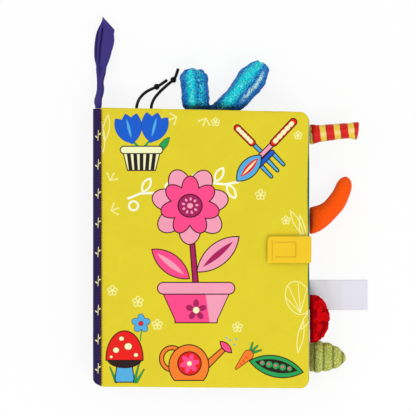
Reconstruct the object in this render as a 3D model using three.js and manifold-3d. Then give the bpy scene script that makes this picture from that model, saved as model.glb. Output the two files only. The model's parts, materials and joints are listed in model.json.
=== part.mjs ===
// A crinkle cloth book for a baby, lying closed on its back cover, in millimetres with +Z up.
// The origin is the middle of the back cover's flat under face. +X points to the fore-edge and +Y to the head.
// Two padded covers and three padded leaves are sewn to a cloth spine. Each one is two cloths round a
// sheet of wadding and a sheet of crinkle film. Stuffed tails, a label and two cords are sewn to the edges.
import * as THREE from "three";
import { mergeVertices } from "three/addons/utils/BufferGeometryUtils.js";
import Module from "manifold-3d";

const wasm = await Module();
wasm.setup();

// Clearances and overrun
const LAYER_GAP = 0.3;
const LEAF_GAP = 0.4;
const SEAM_GAP = 0.7;
const OVERRUN = 2;

// The covers, seen closed from the front
const FORE_EDGE_X = 89;
const COVER_WIDTH = 170;
const HEAD_Y = 115;
const FOOT_Y = -115.2;
const HEAD_FALL = 3.6;
const FOOT_FALL = 1.4;
const FORE_CORNER_RADIUS = 7.5;
const SPINE_CORNER_RADIUS = 1.2;
const COVER_THICKNESS = 6;
const COVER_RIM = 3;
const COVER_CLOTH = 0.7;

// The leaves between them
const LEAF_COUNT = 3;
const LEAF_THICKNESS = 4.4;
const LEAF_RIM = 2.7;
const LEAF_CLOTH = 0.6;
const LEAF_OVERHANG = 0.4;
const LEAF_SHORTFALL = 0.5;
const GUTTER = 9;
const GUTTER_THICKNESS = 1.5;

// How the cloth rounds over at a sewn edge, and the turned-in allowance inside it. Each step of the rounding
// has its place in from the edge and its height, as shares of the rounding, or of the gutter by the spine.
const EDGE_ROUND = 6;
const EDGE_STEP_SHARES = [[1, 1], [0.55, 0.92], [0.2, 0.55], [0, 0]];
const GUTTER_STEP_SHARES = [[1.33, 1], [1.07, 0.6], [0.57, 0], [0, 0]];
const ALLOWANCE = 3.6;
const ALLOWANCE_SLOPE = 1;
const GUTTER_SLOPE = 2.7;
const FILM_THICKNESS = 0.4;
const WADDING_INSET = 0.6;

// The spine: an outer cloth, wadding and a lining that the leaves are sewn to
const SPINE_MARGIN = 6.6;
const SPINE_MARGIN_THICKNESS = 2.8;
const SPINE_LENGTH = 227;
const SPINE_MIDDLE_Y = 0.7;
const SPINE_CLOTH = 0.7;
const SPINE_BULGE = 0.5;
const SPINE_WADDING = 1.8;
const SPINE_LINING = 0.8;
const SPINE_END_GAP = 0.4;
const HINGE_INSET = 1.5;
const LEAF_START_GAP = 0.9;

// The closing strap with its hook and loop patches
const STRAP_WIDTH = 22;
const STRAP_MIDDLE_Y = -2.2;
const STRAP_THICKNESS = 1.2;
const STRAP_FLAP = 35;
const STRAP_CORNER = 4;
const PATCH_LENGTH = 19.3;
const PATCH_WIDTH = 11.5;
const PATCH_THICKNESS = 0.8;
const PATCH_INSET = 4.4;

// The white label on the back cover's fore-edge
const LABEL_LENGTH = 49;
const LABEL_WIDTH = 25;
const LABEL_THICKNESS = 0.8;
const LABEL_MIDDLE_Y = -40;
const LABEL_DROP_RUN = 12;
const LABEL_DROP_SHARES = [[0.3, 0.15], [0.7, 0.85], [1, 1]];
const TABLE_GAP = 0.3;

// The hanging loop at the head of the spine: one strap, twisted a quarter turn and folded back
const LOOP_WIDTH = 14;
const LOOP_END_WIDTH = 11;
const LOOP_STRAP = 0.6;
const LOOP_TUCK = 7;
const LOOP_LENGTH = 69.4;
const LOOP_OPEN = 7;
const LOOP_FOLD_RADIUS = 1.4;
const LOOP_SLANT = 5.4;
const LOOP_STEPS = 16;
const LOOP_SIDE_STEP = 2.6;
const LOOP_SWAY = 11.2;
const LOOP_END_Z = 4.2;
const LOOP_TWIST_START_SHARE = 0.2;
const LOOP_TWIST_END_SHARE = 0.65;
const LOOP_FLAT_SHARE = 0.7;
const LOOP_SLANT_START_SHARE = 0.5;
const LOOP_FOLD_STEPS = 6;
const LOOP_CLOSING_SHARE = 0.86;

// Stuffed tails: the cloth, and how thin the lip is where a tail is sewn to its edge
const TAIL_CLOTH = 0.5;
const TAIL_LIP = 1.6;
const STUFFING_START = 3.4;
const TAIL_SIDES = 14;
const TIP_RADIUS_SHARE = 0.04;

// The blue wings on the second leaf's head edge
const WINGS_MIDDLE_X = 10.4;
const WINGS_THICKNESS = 16;
const WING_ROUND = 9;
const LOBE_WIDTH = 23.4;
const LOBE_ROOT_SHARE = 0.82;
const LOBE_SWELL_SHARE = 0.35;
const SHORT_LOBE_TIP_SHARE = 0.72;
const LONG_LOBE_TIP_SHARE = 0.8;
const SHORT_LOBE_LENGTH = 33;
const SHORT_LOBE_OFFSET = 14.2;
const SHORT_LOBE_LEAN = 1.8;
const LONG_LOBE_WIDTH = 22.6;
const LONG_LOBE_REACH = 38.4;
const LONG_LOBE_OFFSET = -10.4;
const LONG_LOBE_LEAN = -31.4;
const LONG_LOBE_CONTROL_SHARES = [[0.3, 0], [0.6, 0.5]];
const WEB_LENGTH = 45;
const WEB_DEPTH = 6.4;
const WEB_THICKNESS = 6;
const WEB_TIP_SHARE = 0.4;
const WEB_TAPER_SHARE = 0.25;

// The striped tail on the first leaf's fore-edge
const STRIPED_MIDDLE_Y = 93.4;
const STRIPED_LENGTH = 40;
const STRIPED_ROOT_WIDTH = 15.6;
const STRIPED_END_WIDTH = 13;
const STRIPED_THICKNESS = 8;
const STRIPED_ROUND = 4;
const STRIPED_LEAN = 2.6;
const STRIPED_TIP_SHARE = 0.93;
const STRIPED_END_SHARE = 0.6;

// The orange tail on the third leaf's fore-edge
const ORANGE_MIDDLE_Y = 21.4;
const ORANGE_ROOT_WIDTH = 23;
const ORANGE_WIDTH = 16.4;
const ORANGE_THICKNESS = 14.6;
const ORANGE_REACH = 29.4;
const ORANGE_RISE = 35.4;
const ORANGE_CONTROL_SHARES = [[0.42, 0.06], [0.94, 0.52]];
const ORANGE_TIP_SHARE = 0.8;
const ORANGE_NARROW_SHARE = 0.55;
const ORANGE_ROUND = 11.7;

// The red tail on the first leaf's fore-edge
const RED_MIDDLE_Y = -59.3;
const RED_WIDTH = 40.4;
const RED_REACH = 17;
const RED_THICKNESS = 16.6;
const RED_ROUND = 8.5;
const RED_TIP_SHARE = 0.35;
const RED_ROOT_SHARE = 0.1;

// The green ribbed tail on the third leaf's fore-edge
const GREEN_MIDDLE_Y = -90.4;
const GREEN_LENGTH = 31;
const GREEN_WIDTH = 27;
const GREEN_THICKNESS = 15.4;
const GREEN_RIB_PITCH = 7.8;
const GREEN_FIRST_CREASE = 3.8;
const GREEN_CREASE = 1.1;
const GREEN_RIB_SHARES = [0, 0.12, 0.5, 0.88];
const GREEN_LEAN = 0.4;
const GREEN_ROUND = 7.7;
const GREEN_SHOULDER_SHARE = 0.05;
const GREEN_NARROW_SHARE = 0.97;
const GREEN_TIP_SHARE = 0.96;
const GREEN_BULLET_POWER = 2;

// The two black cords on the second leaf's head edge, each with a knot near its end
const CORD_DIAMETER = 2.5;
const CORD_SIDES = 8;
const CORD_STEP = 1.4;
const KNOT_RING = 1.5;
const KNOT_STRAND = 1.3;
const KNOT_CORE = 2.2;
const KNOT_LENGTH = 5;
const KNOT_TILT = Math.PI / 5;

// Places worked out from the sizes
const SEAM_X = FORE_EDGE_X - COVER_WIDTH;
const HINGE_X = SEAM_X - LAYER_GAP - SPINE_MARGIN;
const BACK_Z = COVER_THICKNESS / 2;
const LEAF_PITCH = LEAF_THICKNESS + LEAF_GAP;
const leafZ = (number) =>
  COVER_THICKNESS + LEAF_GAP + LEAF_THICKNESS / 2 + (LEAF_COUNT - number) * LEAF_PITCH;
const FRONT_Z = COVER_THICKNESS + LEAF_GAP + LEAF_COUNT * LEAF_PITCH + COVER_THICKNESS / 2;
const BOOK_THICKNESS = FRONT_Z + COVER_THICKNESS / 2;
const SPINE_OUTER_X = HINGE_X - LAYER_GAP - SPINE_CLOTH;
const SPINE_WADDING_X = SPINE_OUTER_X + SPINE_CLOTH + LAYER_GAP;
const SPINE_LINING_X = SPINE_WADDING_X + SPINE_WADDING + LAYER_GAP;
const LEAF_START_X = SPINE_LINING_X + SPINE_LINING + LEAF_START_GAP;
const LEAF_FORE_X = FORE_EDGE_X + LEAF_OVERHANG;

// The height of the head edge falls towards the fore-edge, and the foot edge falls a little too
const headAt = (x) => HEAD_Y - (HEAD_FALL * (x - SEAM_X)) / COVER_WIDTH;
const footAt = (x) => FOOT_Y - (FOOT_FALL * (x - SEAM_X)) / COVER_WIDTH;

const v2 = (x, y) => new THREE.Vector2(x, y);
const v3 = (x, y, z) => new THREE.Vector3(x, y, z);
const smooth = (from, to, x) => THREE.MathUtils.smoothstep(x, from, to);

// Turns a geometry's faces the right way round, if they point inwards
function facingOut(geometry) {
  const at = geometry.getAttribute("position");
  const index = geometry.index.array;
  const corner = (i) => v3().fromBufferAttribute(at, index[i]);
  let volume = 0;
  for (let i = 0; i < index.length; i += 3) {
    volume += corner(i).dot(corner(i + 1).cross(corner(i + 2)));
  }
  if (volume < 0) {
    for (let i = 0; i < index.length; i += 3) {
      [index[i + 1], index[i + 2]] = [index[i + 2], index[i + 1]];
    }
  }
  return geometry;
}

// A closed solid through rings that all have the same number of points, with both ends capped
function loft(rings) {
  const count = rings[0].length;
  const points = rings.flat();
  const faces = [];
  for (let r = 0; r + 1 < rings.length; r++) {
    for (let i = 0; i < count; i++) {
      const a = r * count + i;
      const b = r * count + ((i + 1) % count);
      faces.push(a, b, b + count, a, b + count, a + count);
    }
  }
  for (const [ring, turn] of [[0, false], [rings.length - 1, true]]) {
    const centre = rings[ring].reduce((sum, p) => sum.add(p), v3(0, 0, 0)).divideScalar(count);
    const hub = points.push(centre) - 1;
    for (let i = 0; i < count; i++) {
      const a = ring * count + i;
      const b = ring * count + ((i + 1) % count);
      faces.push(hub, ...(turn ? [a, b] : [b, a]));
    }
  }
  const geometry = new THREE.BufferGeometry().setFromPoints(points).setIndex(faces);
  return facingOut(geometry);
}

// A three.js geometry as a solid for cutting and joining, and a solid as a geometry again
function solidOf(geometry) {
  const bare = geometry.clone();
  bare.deleteAttribute("normal");
  bare.deleteAttribute("uv");
  const merged = mergeVertices(bare);
  return new wasm.Manifold(
    new wasm.Mesh({
      numProp: 3,
      vertProperties: merged.getAttribute("position").array,
      triVerts: new Uint32Array(merged.index.array),
    }),
  );
}

function geometryOf(solid) {
  const mesh = solid.getMesh();
  const geometry = new THREE.BufferGeometry();
  geometry.setAttribute("position", new THREE.BufferAttribute(mesh.vertProperties, 3));
  geometry.setIndex(new THREE.BufferAttribute(mesh.triVerts, 1));
  return geometry;
}

// The sewn outline of a panel, drawn in by inset, and by more at the spine side where that is asked
function outline(panel, inset, spineInset = inset) {
  const left = panel.left + spineInset;
  const right = panel.right - inset;
  const short = panel.shortfall + inset;
  const corners = [
    { x: right, y: headAt(right) - short, sx: -1, sy: -1, from: 0, radius: FORE_CORNER_RADIUS, steps: 4 },
    { x: left, y: headAt(left) - short, sx: 1, sy: -1, from: 1, radius: SPINE_CORNER_RADIUS, steps: 1 },
    { x: left, y: footAt(left) + short, sx: 1, sy: 1, from: 2, radius: SPINE_CORNER_RADIUS, steps: 1 },
    { x: right, y: footAt(right) + short, sx: -1, sy: 1, from: 3, radius: FORE_CORNER_RADIUS, steps: 4 },
  ];
  return corners.flatMap((c) => {
    const radius = Math.max(c.radius - inset, SPINE_CORNER_RADIUS / 2);
    const centre = v2(c.x + c.sx * radius, c.y + c.sy * radius);
    return Array.from({ length: c.steps + 1 }, (_, i) => {
      const turn = ((c.from + i / c.steps) * Math.PI) / 2;
      const at = v2(centre.x + radius * Math.cos(turn), centre.y + radius * Math.sin(turn));
      at.spine = c.sx > 0;
      return at;
    });
  });
}

const ringOf = (panel, r) =>
  outline(panel, r.inset, r.spine).map((p) => v3(p.x, p.y, p.spine ? (r.spineZ ?? r.z) : r.z));

const flip = (rings, side) => rings.map((ring) => ring.map((p) => v3(p.x, p.y, p.z * side)));

// One face cloth of a panel: flat in the middle, rounded over at the sewn edge, with its allowance turned in.
// The side is 1 for the cloth above the panel's middle plane and -1 for the one below.
function faceCloth(panel, side) {
  const half = panel.thickness / 2;
  const rim = panel.rim / 2;
  const seam = LAYER_GAP / 2;
  const inner = half - panel.cloth;
  const gutter = panel.gutter;
  const rimSpine = gutter ? panel.gutterThickness / 2 : rim;
  const spineSteps = gutter ? GUTTER_STEP_SHARES : EDGE_STEP_SHARES;
  const outer = EDGE_STEP_SHARES.map(([inward, up], i) => ({
    inset: EDGE_ROUND * inward,
    z: rim + (half - rim) * up,
    spine: (gutter || EDGE_ROUND) * spineSteps[i][0],
    spineZ: rimSpine + (half - rimSpine) * spineSteps[i][1],
  }));
  const turnedIn = gutter ? gutter + panel.cloth + LAYER_GAP : ALLOWANCE;
  const inside = [
    { inset: 0, spine: 0, z: seam },
    { inset: ALLOWANCE, spine: turnedIn, z: seam },
    { inset: ALLOWANCE + ALLOWANCE_SLOPE, spine: turnedIn + (gutter ? GUTTER_SLOPE : ALLOWANCE_SLOPE), z: inner },
  ];
  return loft(flip([...outer, ...inside].map((r) => ringOf(panel, r)), side));
}

// A flat sheet inside a panel, from one height to another
function sheet(panel, inset, from, to) {
  const spine = panel.gutter ? panel.gutter + inset : inset;
  const shape = new THREE.Shape(outline(panel, inset, spine));
  return new THREE.ExtrudeGeometry(shape, { depth: to - from, bevelEnabled: false }).translate(0, 0, from);
}

// A prism whose section is drawn in X and Z, centred on a middle Y
function prism(section, length, middleY) {
  const shape = new THREE.Shape(section);
  const made = new THREE.ExtrudeGeometry(shape, { depth: length, bevelEnabled: false });
  return made.rotateX(Math.PI / 2).translate(0, middleY + length / 2, 0);
}

const material = (colour, roughness, metalness = 0) =>
  new THREE.MeshStandardMaterial({ color: new THREE.Color(colour), roughness, metalness });

const MATERIALS = {
  yellow: material("#e6d030", 0.75),
  gold: material("#f2c92c", 0.8),
  violet: material("#34245a", 0.8),
  loop: material("#453a82", 0.7),
  wadding: material("#f4f2ec", 0.95),
  film: material("#d9e4ea", 0.35),
  hook: material("#eadf9a", 0.9),
  label: material("#e6e8f4", 0.45),
  wings: material("#1593b8", 0.3, 0.6),
  striped: material("#d31f18", 0.4),
  orange: material("#fb5a12", 0.9),
  red: material("#cf1016", 0.95),
  green: material("#b6bd5e", 0.9),
  cord: material("#101010", 0.7),
  pages: ["#2f7d55", "#2c6f9e", "#4a3f8c"].map((colour) => material(colour, 0.75)),
};

const book = new THREE.Group();

function place(name, geometry, look, group = book) {
  const mesh = new THREE.Mesh(geometry, look);
  mesh.name = name;
  group.add(mesh);
}

function groupAt(x, y, z, parent = book) {
  const group = new THREE.Group();
  group.position.set(x, y, z);
  parent.add(group);
  return group;
}

// The panels. A cover's outer cloth is on the side that faces out of the book.
const coverPanel = {
  left: SEAM_X,
  right: FORE_EDGE_X,
  shortfall: 0,
  thickness: COVER_THICKNESS,
  rim: COVER_RIM,
  cloth: COVER_CLOTH,
  gutter: 0,
};
const leafPanel = {
  left: LEAF_START_X,
  right: LEAF_FORE_X,
  shortfall: LEAF_SHORTFALL,
  thickness: LEAF_THICKNESS,
  rim: LEAF_RIM,
  cloth: LEAF_CLOTH,
  gutter: GUTTER,
  gutterThickness: GUTTER_THICKNESS,
};

// The wadding and the film lie one on the other in the hollow between a panel's two cloths
function panelFilling(prefix, panel, group, filmSide) {
  const hollow = panel.thickness / 2 - panel.cloth - LAYER_GAP;
  const inset = ALLOWANCE + ALLOWANCE_SLOPE + WADDING_INSET;
  const film = [-hollow, -hollow + FILM_THICKNESS];
  const wadding = [film[1] + LAYER_GAP, hollow];
  const turned = ([low, high]) => (filmSide < 0 ? [low, high] : [-high, -low]);
  place(prefix + "_wadding", sheet(panel, inset, ...turned(wadding)), MATERIALS.wadding, group);
  place(prefix + "_crinkle_film", sheet(panel, inset, ...turned(film)), MATERIALS.film, group);
}

function cover(prefix, z, side) {
  const group = groupAt(0, 0, z);
  place(prefix + "_cloth", faceCloth(coverPanel, side), MATERIALS.yellow, group);
  place(prefix + "_lining", faceCloth(coverPanel, -side), MATERIALS.pages[1], group);
  panelFilling(prefix, coverPanel, group, side);
}

// The strip of spine cloth that is folded over a cover's sewn edge
function spineMargin(name, side) {
  const outer = side > 0 ? BOOK_THICKNESS : 0;
  const inner = outer - side * SPINE_MARGIN_THICKNESS;
  const round = SPINE_MARGIN_THICKNESS / 4;
  const section = [
    v2(HINGE_X, inner),
    v2(SEAM_X - LAYER_GAP, inner),
    v2(SEAM_X - LAYER_GAP, outer - side * round),
    v2(SEAM_X - LAYER_GAP - round, outer),
    v2(HINGE_X + round, outer),
    v2(HINGE_X, outer - side * round),
  ];
  place(name, prism(side > 0 ? section : section.reverse(), SPINE_LENGTH, SPINE_MIDDLE_Y), MATERIALS.violet);
}

function spine() {
  const low = HINGE_INSET + SPINE_END_GAP;
  const high = BOOK_THICKNESS - low;
  const steps = 6;
  const bow = (x, from, to) =>
    Array.from({ length: steps + 1 }, (_, i) => {
      const share = i / steps;
      return v2(x - SPINE_BULGE * Math.sin(Math.PI * share), from + (to - from) * share);
    });
  const cloth = [...bow(SPINE_OUTER_X + SPINE_CLOTH, low, high), ...bow(SPINE_OUTER_X, high, low)];
  place("spine_cloth", prism(cloth, SPINE_LENGTH, SPINE_MIDDLE_Y), MATERIALS.violet);

  const inside = SPINE_MARGIN_THICKNESS + SPINE_END_GAP;
  const box = (x, thickness) => [
    v2(x, inside),
    v2(x + thickness, inside),
    v2(x + thickness, BOOK_THICKNESS - inside),
    v2(x, BOOK_THICKNESS - inside),
  ];
  const tucked = LOOP_TUCK + LAYER_GAP;
  const wadding = prism(box(SPINE_WADDING_X, SPINE_WADDING), SPINE_LENGTH - tucked, SPINE_MIDDLE_Y - tucked / 2);
  place("spine_wadding", wadding, MATERIALS.wadding);
  place("spine_lining", prism(box(SPINE_LINING_X, SPINE_LINING), SPINE_LENGTH, SPINE_MIDDLE_Y), MATERIALS.violet);
}

function leaf(number) {
  const group = groupAt(0, 0, leafZ(number));
  const prefix = "leaf_" + number;
  const look = MATERIALS.pages[number - 1];
  place(prefix + "_front_cloth", faceCloth(leafPanel, 1), look, group);
  place(prefix + "_back_cloth", faceCloth(leafPanel, -1), look, group);
  panelFilling(prefix, leafPanel, group, -1);
}

// The strap rises from the back cover's fore-edge and its flap lies over the front cover
function closingStrap() {
  const riserX = LEAF_FORE_X + LAYER_GAP;
  const loopPatchZ = BOOK_THICKNESS + LAYER_GAP;
  const hookPatchZ = loopPatchZ + PATCH_THICKNESS + LAYER_GAP;
  const flapZ = hookPatchZ + PATCH_THICKNESS + LAYER_GAP;
  const riserTop = flapZ - LAYER_GAP;
  const section = [
    v2(riserX, BACK_Z - COVER_RIM / 2),
    v2(riserX + STRAP_THICKNESS, BACK_Z - COVER_RIM / 2),
    v2(riserX + STRAP_THICKNESS, riserTop),
    v2(riserX, riserTop),
  ];
  place("strap_riser", prism(section, STRAP_WIDTH, STRAP_MIDDLE_Y), MATERIALS.gold);

  const right = riserX + STRAP_THICKNESS;
  const left = right - STRAP_FLAP - STRAP_THICKNESS;
  const half = STRAP_WIDTH / 2;
  const flap = new THREE.Shape();
  flap.moveTo(right, -half);
  flap.lineTo(right, half);
  flap.lineTo(left + STRAP_CORNER, half);
  flap.quadraticCurveTo(left, half, left, half - STRAP_CORNER);
  flap.lineTo(left, -half + STRAP_CORNER / 4);
  flap.lineTo(left + STRAP_CORNER / 4, -half);
  flap.closePath();
  const made = new THREE.ExtrudeGeometry(flap, { depth: STRAP_THICKNESS, bevelEnabled: false, curveSegments: 4 });
  place("strap_flap", made.translate(0, STRAP_MIDDLE_Y, flapZ), MATERIALS.gold);

  const patch = () => new THREE.BoxGeometry(PATCH_LENGTH, PATCH_WIDTH, PATCH_THICKNESS);
  const patchX = left + PATCH_INSET + PATCH_LENGTH / 2;
  const half_patch = PATCH_THICKNESS / 2;
  place("hook_patch", patch().translate(patchX, STRAP_MIDDLE_Y, hookPatchZ + half_patch), MATERIALS.hook);
  place("loop_patch", patch().translate(patchX, STRAP_MIDDLE_Y, loopPatchZ + half_patch), MATERIALS.hook);
}

// The label leaves the back cover's edge, drops to the table and lies flat on it
function label() {
  const half = LABEL_THICKNESS / 2;
  const flat = TABLE_GAP + half;
  const drop = LABEL_DROP_SHARES.map(([run, fall]) => [LABEL_DROP_RUN * run, BACK_Z - (BACK_Z - flat) * fall]);
  const along = [[SEAM_GAP, BACK_Z], ...drop, [LABEL_LENGTH, flat]];
  const rings = along.map(([u, z]) => {
    const x = FORE_EDGE_X + u;
    const side = LABEL_WIDTH / 2;
    return [v3(x, -side, z - half), v3(x, side, z - half), v3(x, side, z + half), v3(x, -side, z + half)];
  });
  place("label", loft(rings).translate(0, LABEL_MIDDLE_Y, 0), MATERIALS.label);
}

// The hanging loop's strap stands on edge at the spine, and twists until it lies flat at its folded end
function hangingLoop() {
  const spineTop = SPINE_MIDDLE_Y + SPINE_LENGTH / 2;
  const tuckedX = SPINE_WADDING_X + SPINE_WADDING / 2;
  const middleZ = BOOK_THICKNESS / 2;
  const plies = 2 * LOOP_STRAP + LAYER_GAP;
  const sewn = new THREE.BoxGeometry(plies, LOOP_TUCK, LOOP_WIDTH);
  place("hanging_loop_sewn_end", sewn.translate(tuckedX, spineTop - LOOP_TUCK / 2, middleZ), MATERIALS.loop);

  const section = (share) => {
    const twist = (Math.PI / 2) * smooth(LOOP_TWIST_START_SHARE, LOOP_TWIST_END_SHARE, share);
    const step = LOOP_SIDE_STEP * Math.min(1, share * LOOP_STEPS);
    const sway = (LOOP_SWAY - LOOP_SIDE_STEP) * share ** 2;
    const z = THREE.MathUtils.lerp(middleZ, LOOP_END_Z, smooth(0, LOOP_FLAT_SHARE, share));
    const sewnApart = (LOOP_STRAP + LAYER_GAP) / 2;
    const open = THREE.MathUtils.lerp(sewnApart, LOOP_OPEN / 2, smooth(0, LOOP_FLAT_SHARE, share));
    const closing = smooth(LOOP_CLOSING_SHARE, 1, share);
    return {
      centre: v3(tuckedX + step + sway, spineTop + SEAM_GAP + (LOOP_LENGTH - SEAM_GAP) * share, z),
      across: v3(Math.sin(twist), 0, Math.cos(twist)),
      normal: v3(-Math.cos(twist), 0, Math.sin(twist)),
      apart: THREE.MathUtils.lerp(open, LOOP_FOLD_RADIUS, closing),
      slant: LOOP_SLANT * smooth(LOOP_SLANT_START_SHARE, 1, share),
      half: THREE.MathUtils.lerp(LOOP_WIDTH, LOOP_END_WIDTH, closing) / 2,
    };
  };
  const ring = (s, out) => {
    const at = s.centre.clone().addScaledVector(out, s.apart);
    const side = s.across.clone().multiplyScalar(s.half).add(v3(0, -s.slant, 0));
    const corner = (a, b) => at.clone().addScaledVector(side, a).addScaledVector(out, (b * LOOP_STRAP) / 2);
    return [corner(1, 1), corner(-1, 1), corner(-1, -1), corner(1, -1)];
  };
  const strand = (turned) =>
    Array.from({ length: LOOP_STEPS + 1 }, (_, i) => {
      const s = section(i / LOOP_STEPS);
      return ring(s, s.normal.clone().multiplyScalar(turned));
    });
  const last = section(1);
  const fold = Array.from({ length: LOOP_FOLD_STEPS - 1 }, (_, i) => {
    const turn = (Math.PI * (i + 1)) / LOOP_FOLD_STEPS;
    return ring(last, last.normal.clone().multiplyScalar(Math.cos(turn)).add(v3(0, Math.sin(turn), 0)));
  });
  place("hanging_loop", loft([...strand(1), ...fold, ...strand(-1).reverse()]), MATERIALS.loop);
}

// A stuffed form swept along a path in the plane of its leaf. In its own frame u leaves the edge, v runs along
// the edge and w is up. Widths and thicknesses are functions of the share of the path, and shrink draws the
// whole form in by a cloth's thickness.
function stuffedForm({ path, width, thickness, shares, shrink = 0, back = 0 }) {
  const length = path.getLength();
  const rings = shares.map((t, i) => {
    const drawn = t * (1 - shrink / length);
    const at = path.getPointAt(drawn);
    const along = path.getTangentAt(drawn);
    const side = v2(-along.y, along.x);
    const a = Math.max(width(t) / 2 - shrink, TIP_RADIUS_SHARE * TAIL_CLOTH);
    const b = Math.max(thickness(t) / 2 - shrink, TIP_RADIUS_SHARE * TAIL_CLOTH);
    const step = i ? 0 : back;
    return Array.from({ length: TAIL_SIDES }, (_, k) => {
      const turn = (2 * Math.PI * k) / TAIL_SIDES;
      const p = at.clone().addScaledVector(along, -step).addScaledVector(side, a * Math.cos(turn));
      return v3(p.x, p.y, b * Math.sin(turn));
    });
  });
  return loft(rings);
}

// Shares of a path that end in a round tip, closer together where the tip turns in
function roundTip(from, straight, tip) {
  const shares = Array.from({ length: straight }, (_, i) => (from * i) / straight);
  for (let i = 0; i <= tip; i++) {
    shares.push(from + (1 - from) * Math.sin((Math.PI / 2) * (i / tip)));
  }
  return shares;
}

const tipRound = (from, t) => (t <= from ? 1 : Math.sqrt(Math.max(0, 1 - ((t - from) / (1 - from)) ** 2)));

// A tail is a cloth skin, open at the lips where it is sewn to its edge, round a filling of stuffing
function tail(name, parts, look, group) {
  const join = (shrink, back) =>
    parts.map((p) => solidOf(stuffedForm({ ...p, shrink, back }))).reduce((a, b) => a.add(b));
  const cut = (solid, from) => solid.trimByPlane([1, 0, 0], from);
  const skin = cut(join(0, 0), SEAM_GAP).subtract(join(TAIL_CLOTH, OVERRUN));
  place(name + "_skin", geometryOf(skin), look, group);
  const stuffing = cut(join(TAIL_CLOTH + LAYER_GAP, 0), STUFFING_START);
  place(name + "_stuffing", geometryOf(stuffing), MATERIALS.wadding, group);
}

// How far a tail has filled out after the given run from its lips, and how thick it is along its path
const filledOut = (run, length) => (t) => Math.sin((Math.PI / 2) * Math.min(1, (t * length) / run));
const swell = (full, run, length, tip) => (t) =>
  THREE.MathUtils.lerp(TAIL_LIP, full, filledOut(run, length)(t)) * tipRound(tip, t);

function wings() {
  const y = headAt(WINGS_MIDDLE_X) - LEAF_SHORTFALL;
  const group = groupAt(WINGS_MIDDLE_X, y, leafZ(2));
  group.rotation.z = Math.PI / 2 - Math.atan(HEAD_FALL / COVER_WIDTH);
  const lobeSpread = (t) => THREE.MathUtils.lerp(LOBE_ROOT_SHARE, 1, smooth(0, LOBE_SWELL_SHARE, t));
  const lobe = (width, path, tip) => {
    const length = path.getLength();
    return {
      path,
      shares: roundTip(tip, 5, 4),
      width: (t) => lobeSpread(t) * width * tipRound(tip, t),
      thickness: swell(WINGS_THICKNESS, WING_ROUND, length, tip),
    };
  };
  const shortPath = new THREE.QuadraticBezierCurve(
    v2(SEAM_GAP, SHORT_LOBE_OFFSET - SHORT_LOBE_LEAN),
    v2(SHORT_LOBE_LENGTH / 2, SHORT_LOBE_OFFSET),
    v2(SHORT_LOBE_LENGTH, SHORT_LOBE_OFFSET + SHORT_LOBE_LEAN),
  );
  const longPath = new THREE.CubicBezierCurve(
    v2(SEAM_GAP, LONG_LOBE_OFFSET),
    ...LONG_LOBE_CONTROL_SHARES.map(([out, lean]) =>
      v2(LONG_LOBE_REACH * out, LONG_LOBE_OFFSET + LONG_LOBE_LEAN * lean),
    ),
    v2(LONG_LOBE_REACH, LONG_LOBE_OFFSET + LONG_LOBE_LEAN),
  );
  const web = {
    path: new THREE.LineCurve(v2(SEAM_GAP, 0), v2(SEAM_GAP + WEB_DEPTH, 0)),
    shares: roundTip(WEB_TIP_SHARE, 2, 3),
    width: (t) => WEB_LENGTH * (1 - WEB_TAPER_SHARE * t),
    thickness: swell(WEB_THICKNESS, WEB_DEPTH * WEB_TIP_SHARE, WEB_DEPTH, WEB_TIP_SHARE),
  };
  const shortLobe = lobe(LOBE_WIDTH, shortPath, SHORT_LOBE_TIP_SHARE);
  const longLobe = lobe(LONG_LOBE_WIDTH, longPath, LONG_LOBE_TIP_SHARE);
  tail("wings", [web, shortLobe, longLobe], MATERIALS.wings, group);
}

function stripedTail() {
  const group = groupAt(LEAF_FORE_X, STRIPED_MIDDLE_Y, leafZ(1));
  const path = new THREE.LineCurve(v2(SEAM_GAP, 0), v2(STRIPED_LENGTH, STRIPED_LEAN));
  const taper = (t) => THREE.MathUtils.lerp(STRIPED_ROOT_WIDTH, STRIPED_END_WIDTH, t);
  const part = {
    path,
    shares: roundTip(STRIPED_TIP_SHARE, 5, 3),
    width: (t) => taper(t) * THREE.MathUtils.lerp(STRIPED_END_SHARE, 1, tipRound(STRIPED_TIP_SHARE, t)),
    thickness: swell(STRIPED_THICKNESS, STRIPED_ROUND, STRIPED_LENGTH, STRIPED_TIP_SHARE),
  };
  tail("striped_tail", [part], MATERIALS.striped, group);
}

function orangeTail() {
  const group = groupAt(LEAF_FORE_X, ORANGE_MIDDLE_Y, leafZ(3));
  const path = new THREE.CubicBezierCurve(
    v2(SEAM_GAP, 0),
    ...ORANGE_CONTROL_SHARES.map(([out, up]) => v2(ORANGE_REACH * out, ORANGE_RISE * up)),
    v2(ORANGE_REACH, ORANGE_RISE),
  );
  const taper = (t) => THREE.MathUtils.lerp(ORANGE_ROOT_WIDTH, ORANGE_WIDTH, smooth(0, ORANGE_NARROW_SHARE, t));
  const part = {
    path,
    shares: roundTip(ORANGE_TIP_SHARE, 7, 4),
    width: (t) => taper(t) * tipRound(ORANGE_TIP_SHARE, t),
    thickness: swell(ORANGE_THICKNESS, ORANGE_ROUND, path.getLength(), ORANGE_TIP_SHARE),
  };
  tail("orange_tail", [part], MATERIALS.orange, group);
}

function redTail() {
  const group = groupAt(LEAF_FORE_X, RED_MIDDLE_Y, leafZ(1));
  const part = {
    path: new THREE.LineCurve(v2(SEAM_GAP, 0), v2(RED_REACH, 0)),
    shares: roundTip(RED_ROOT_SHARE, 1, 8),
    width: (t) => RED_WIDTH * tipRound(0, t),
    thickness: swell(RED_THICKNESS, RED_ROUND, RED_REACH, RED_TIP_SHARE),
  };
  tail("red_tail", [part], MATERIALS.red, group);
}

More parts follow.
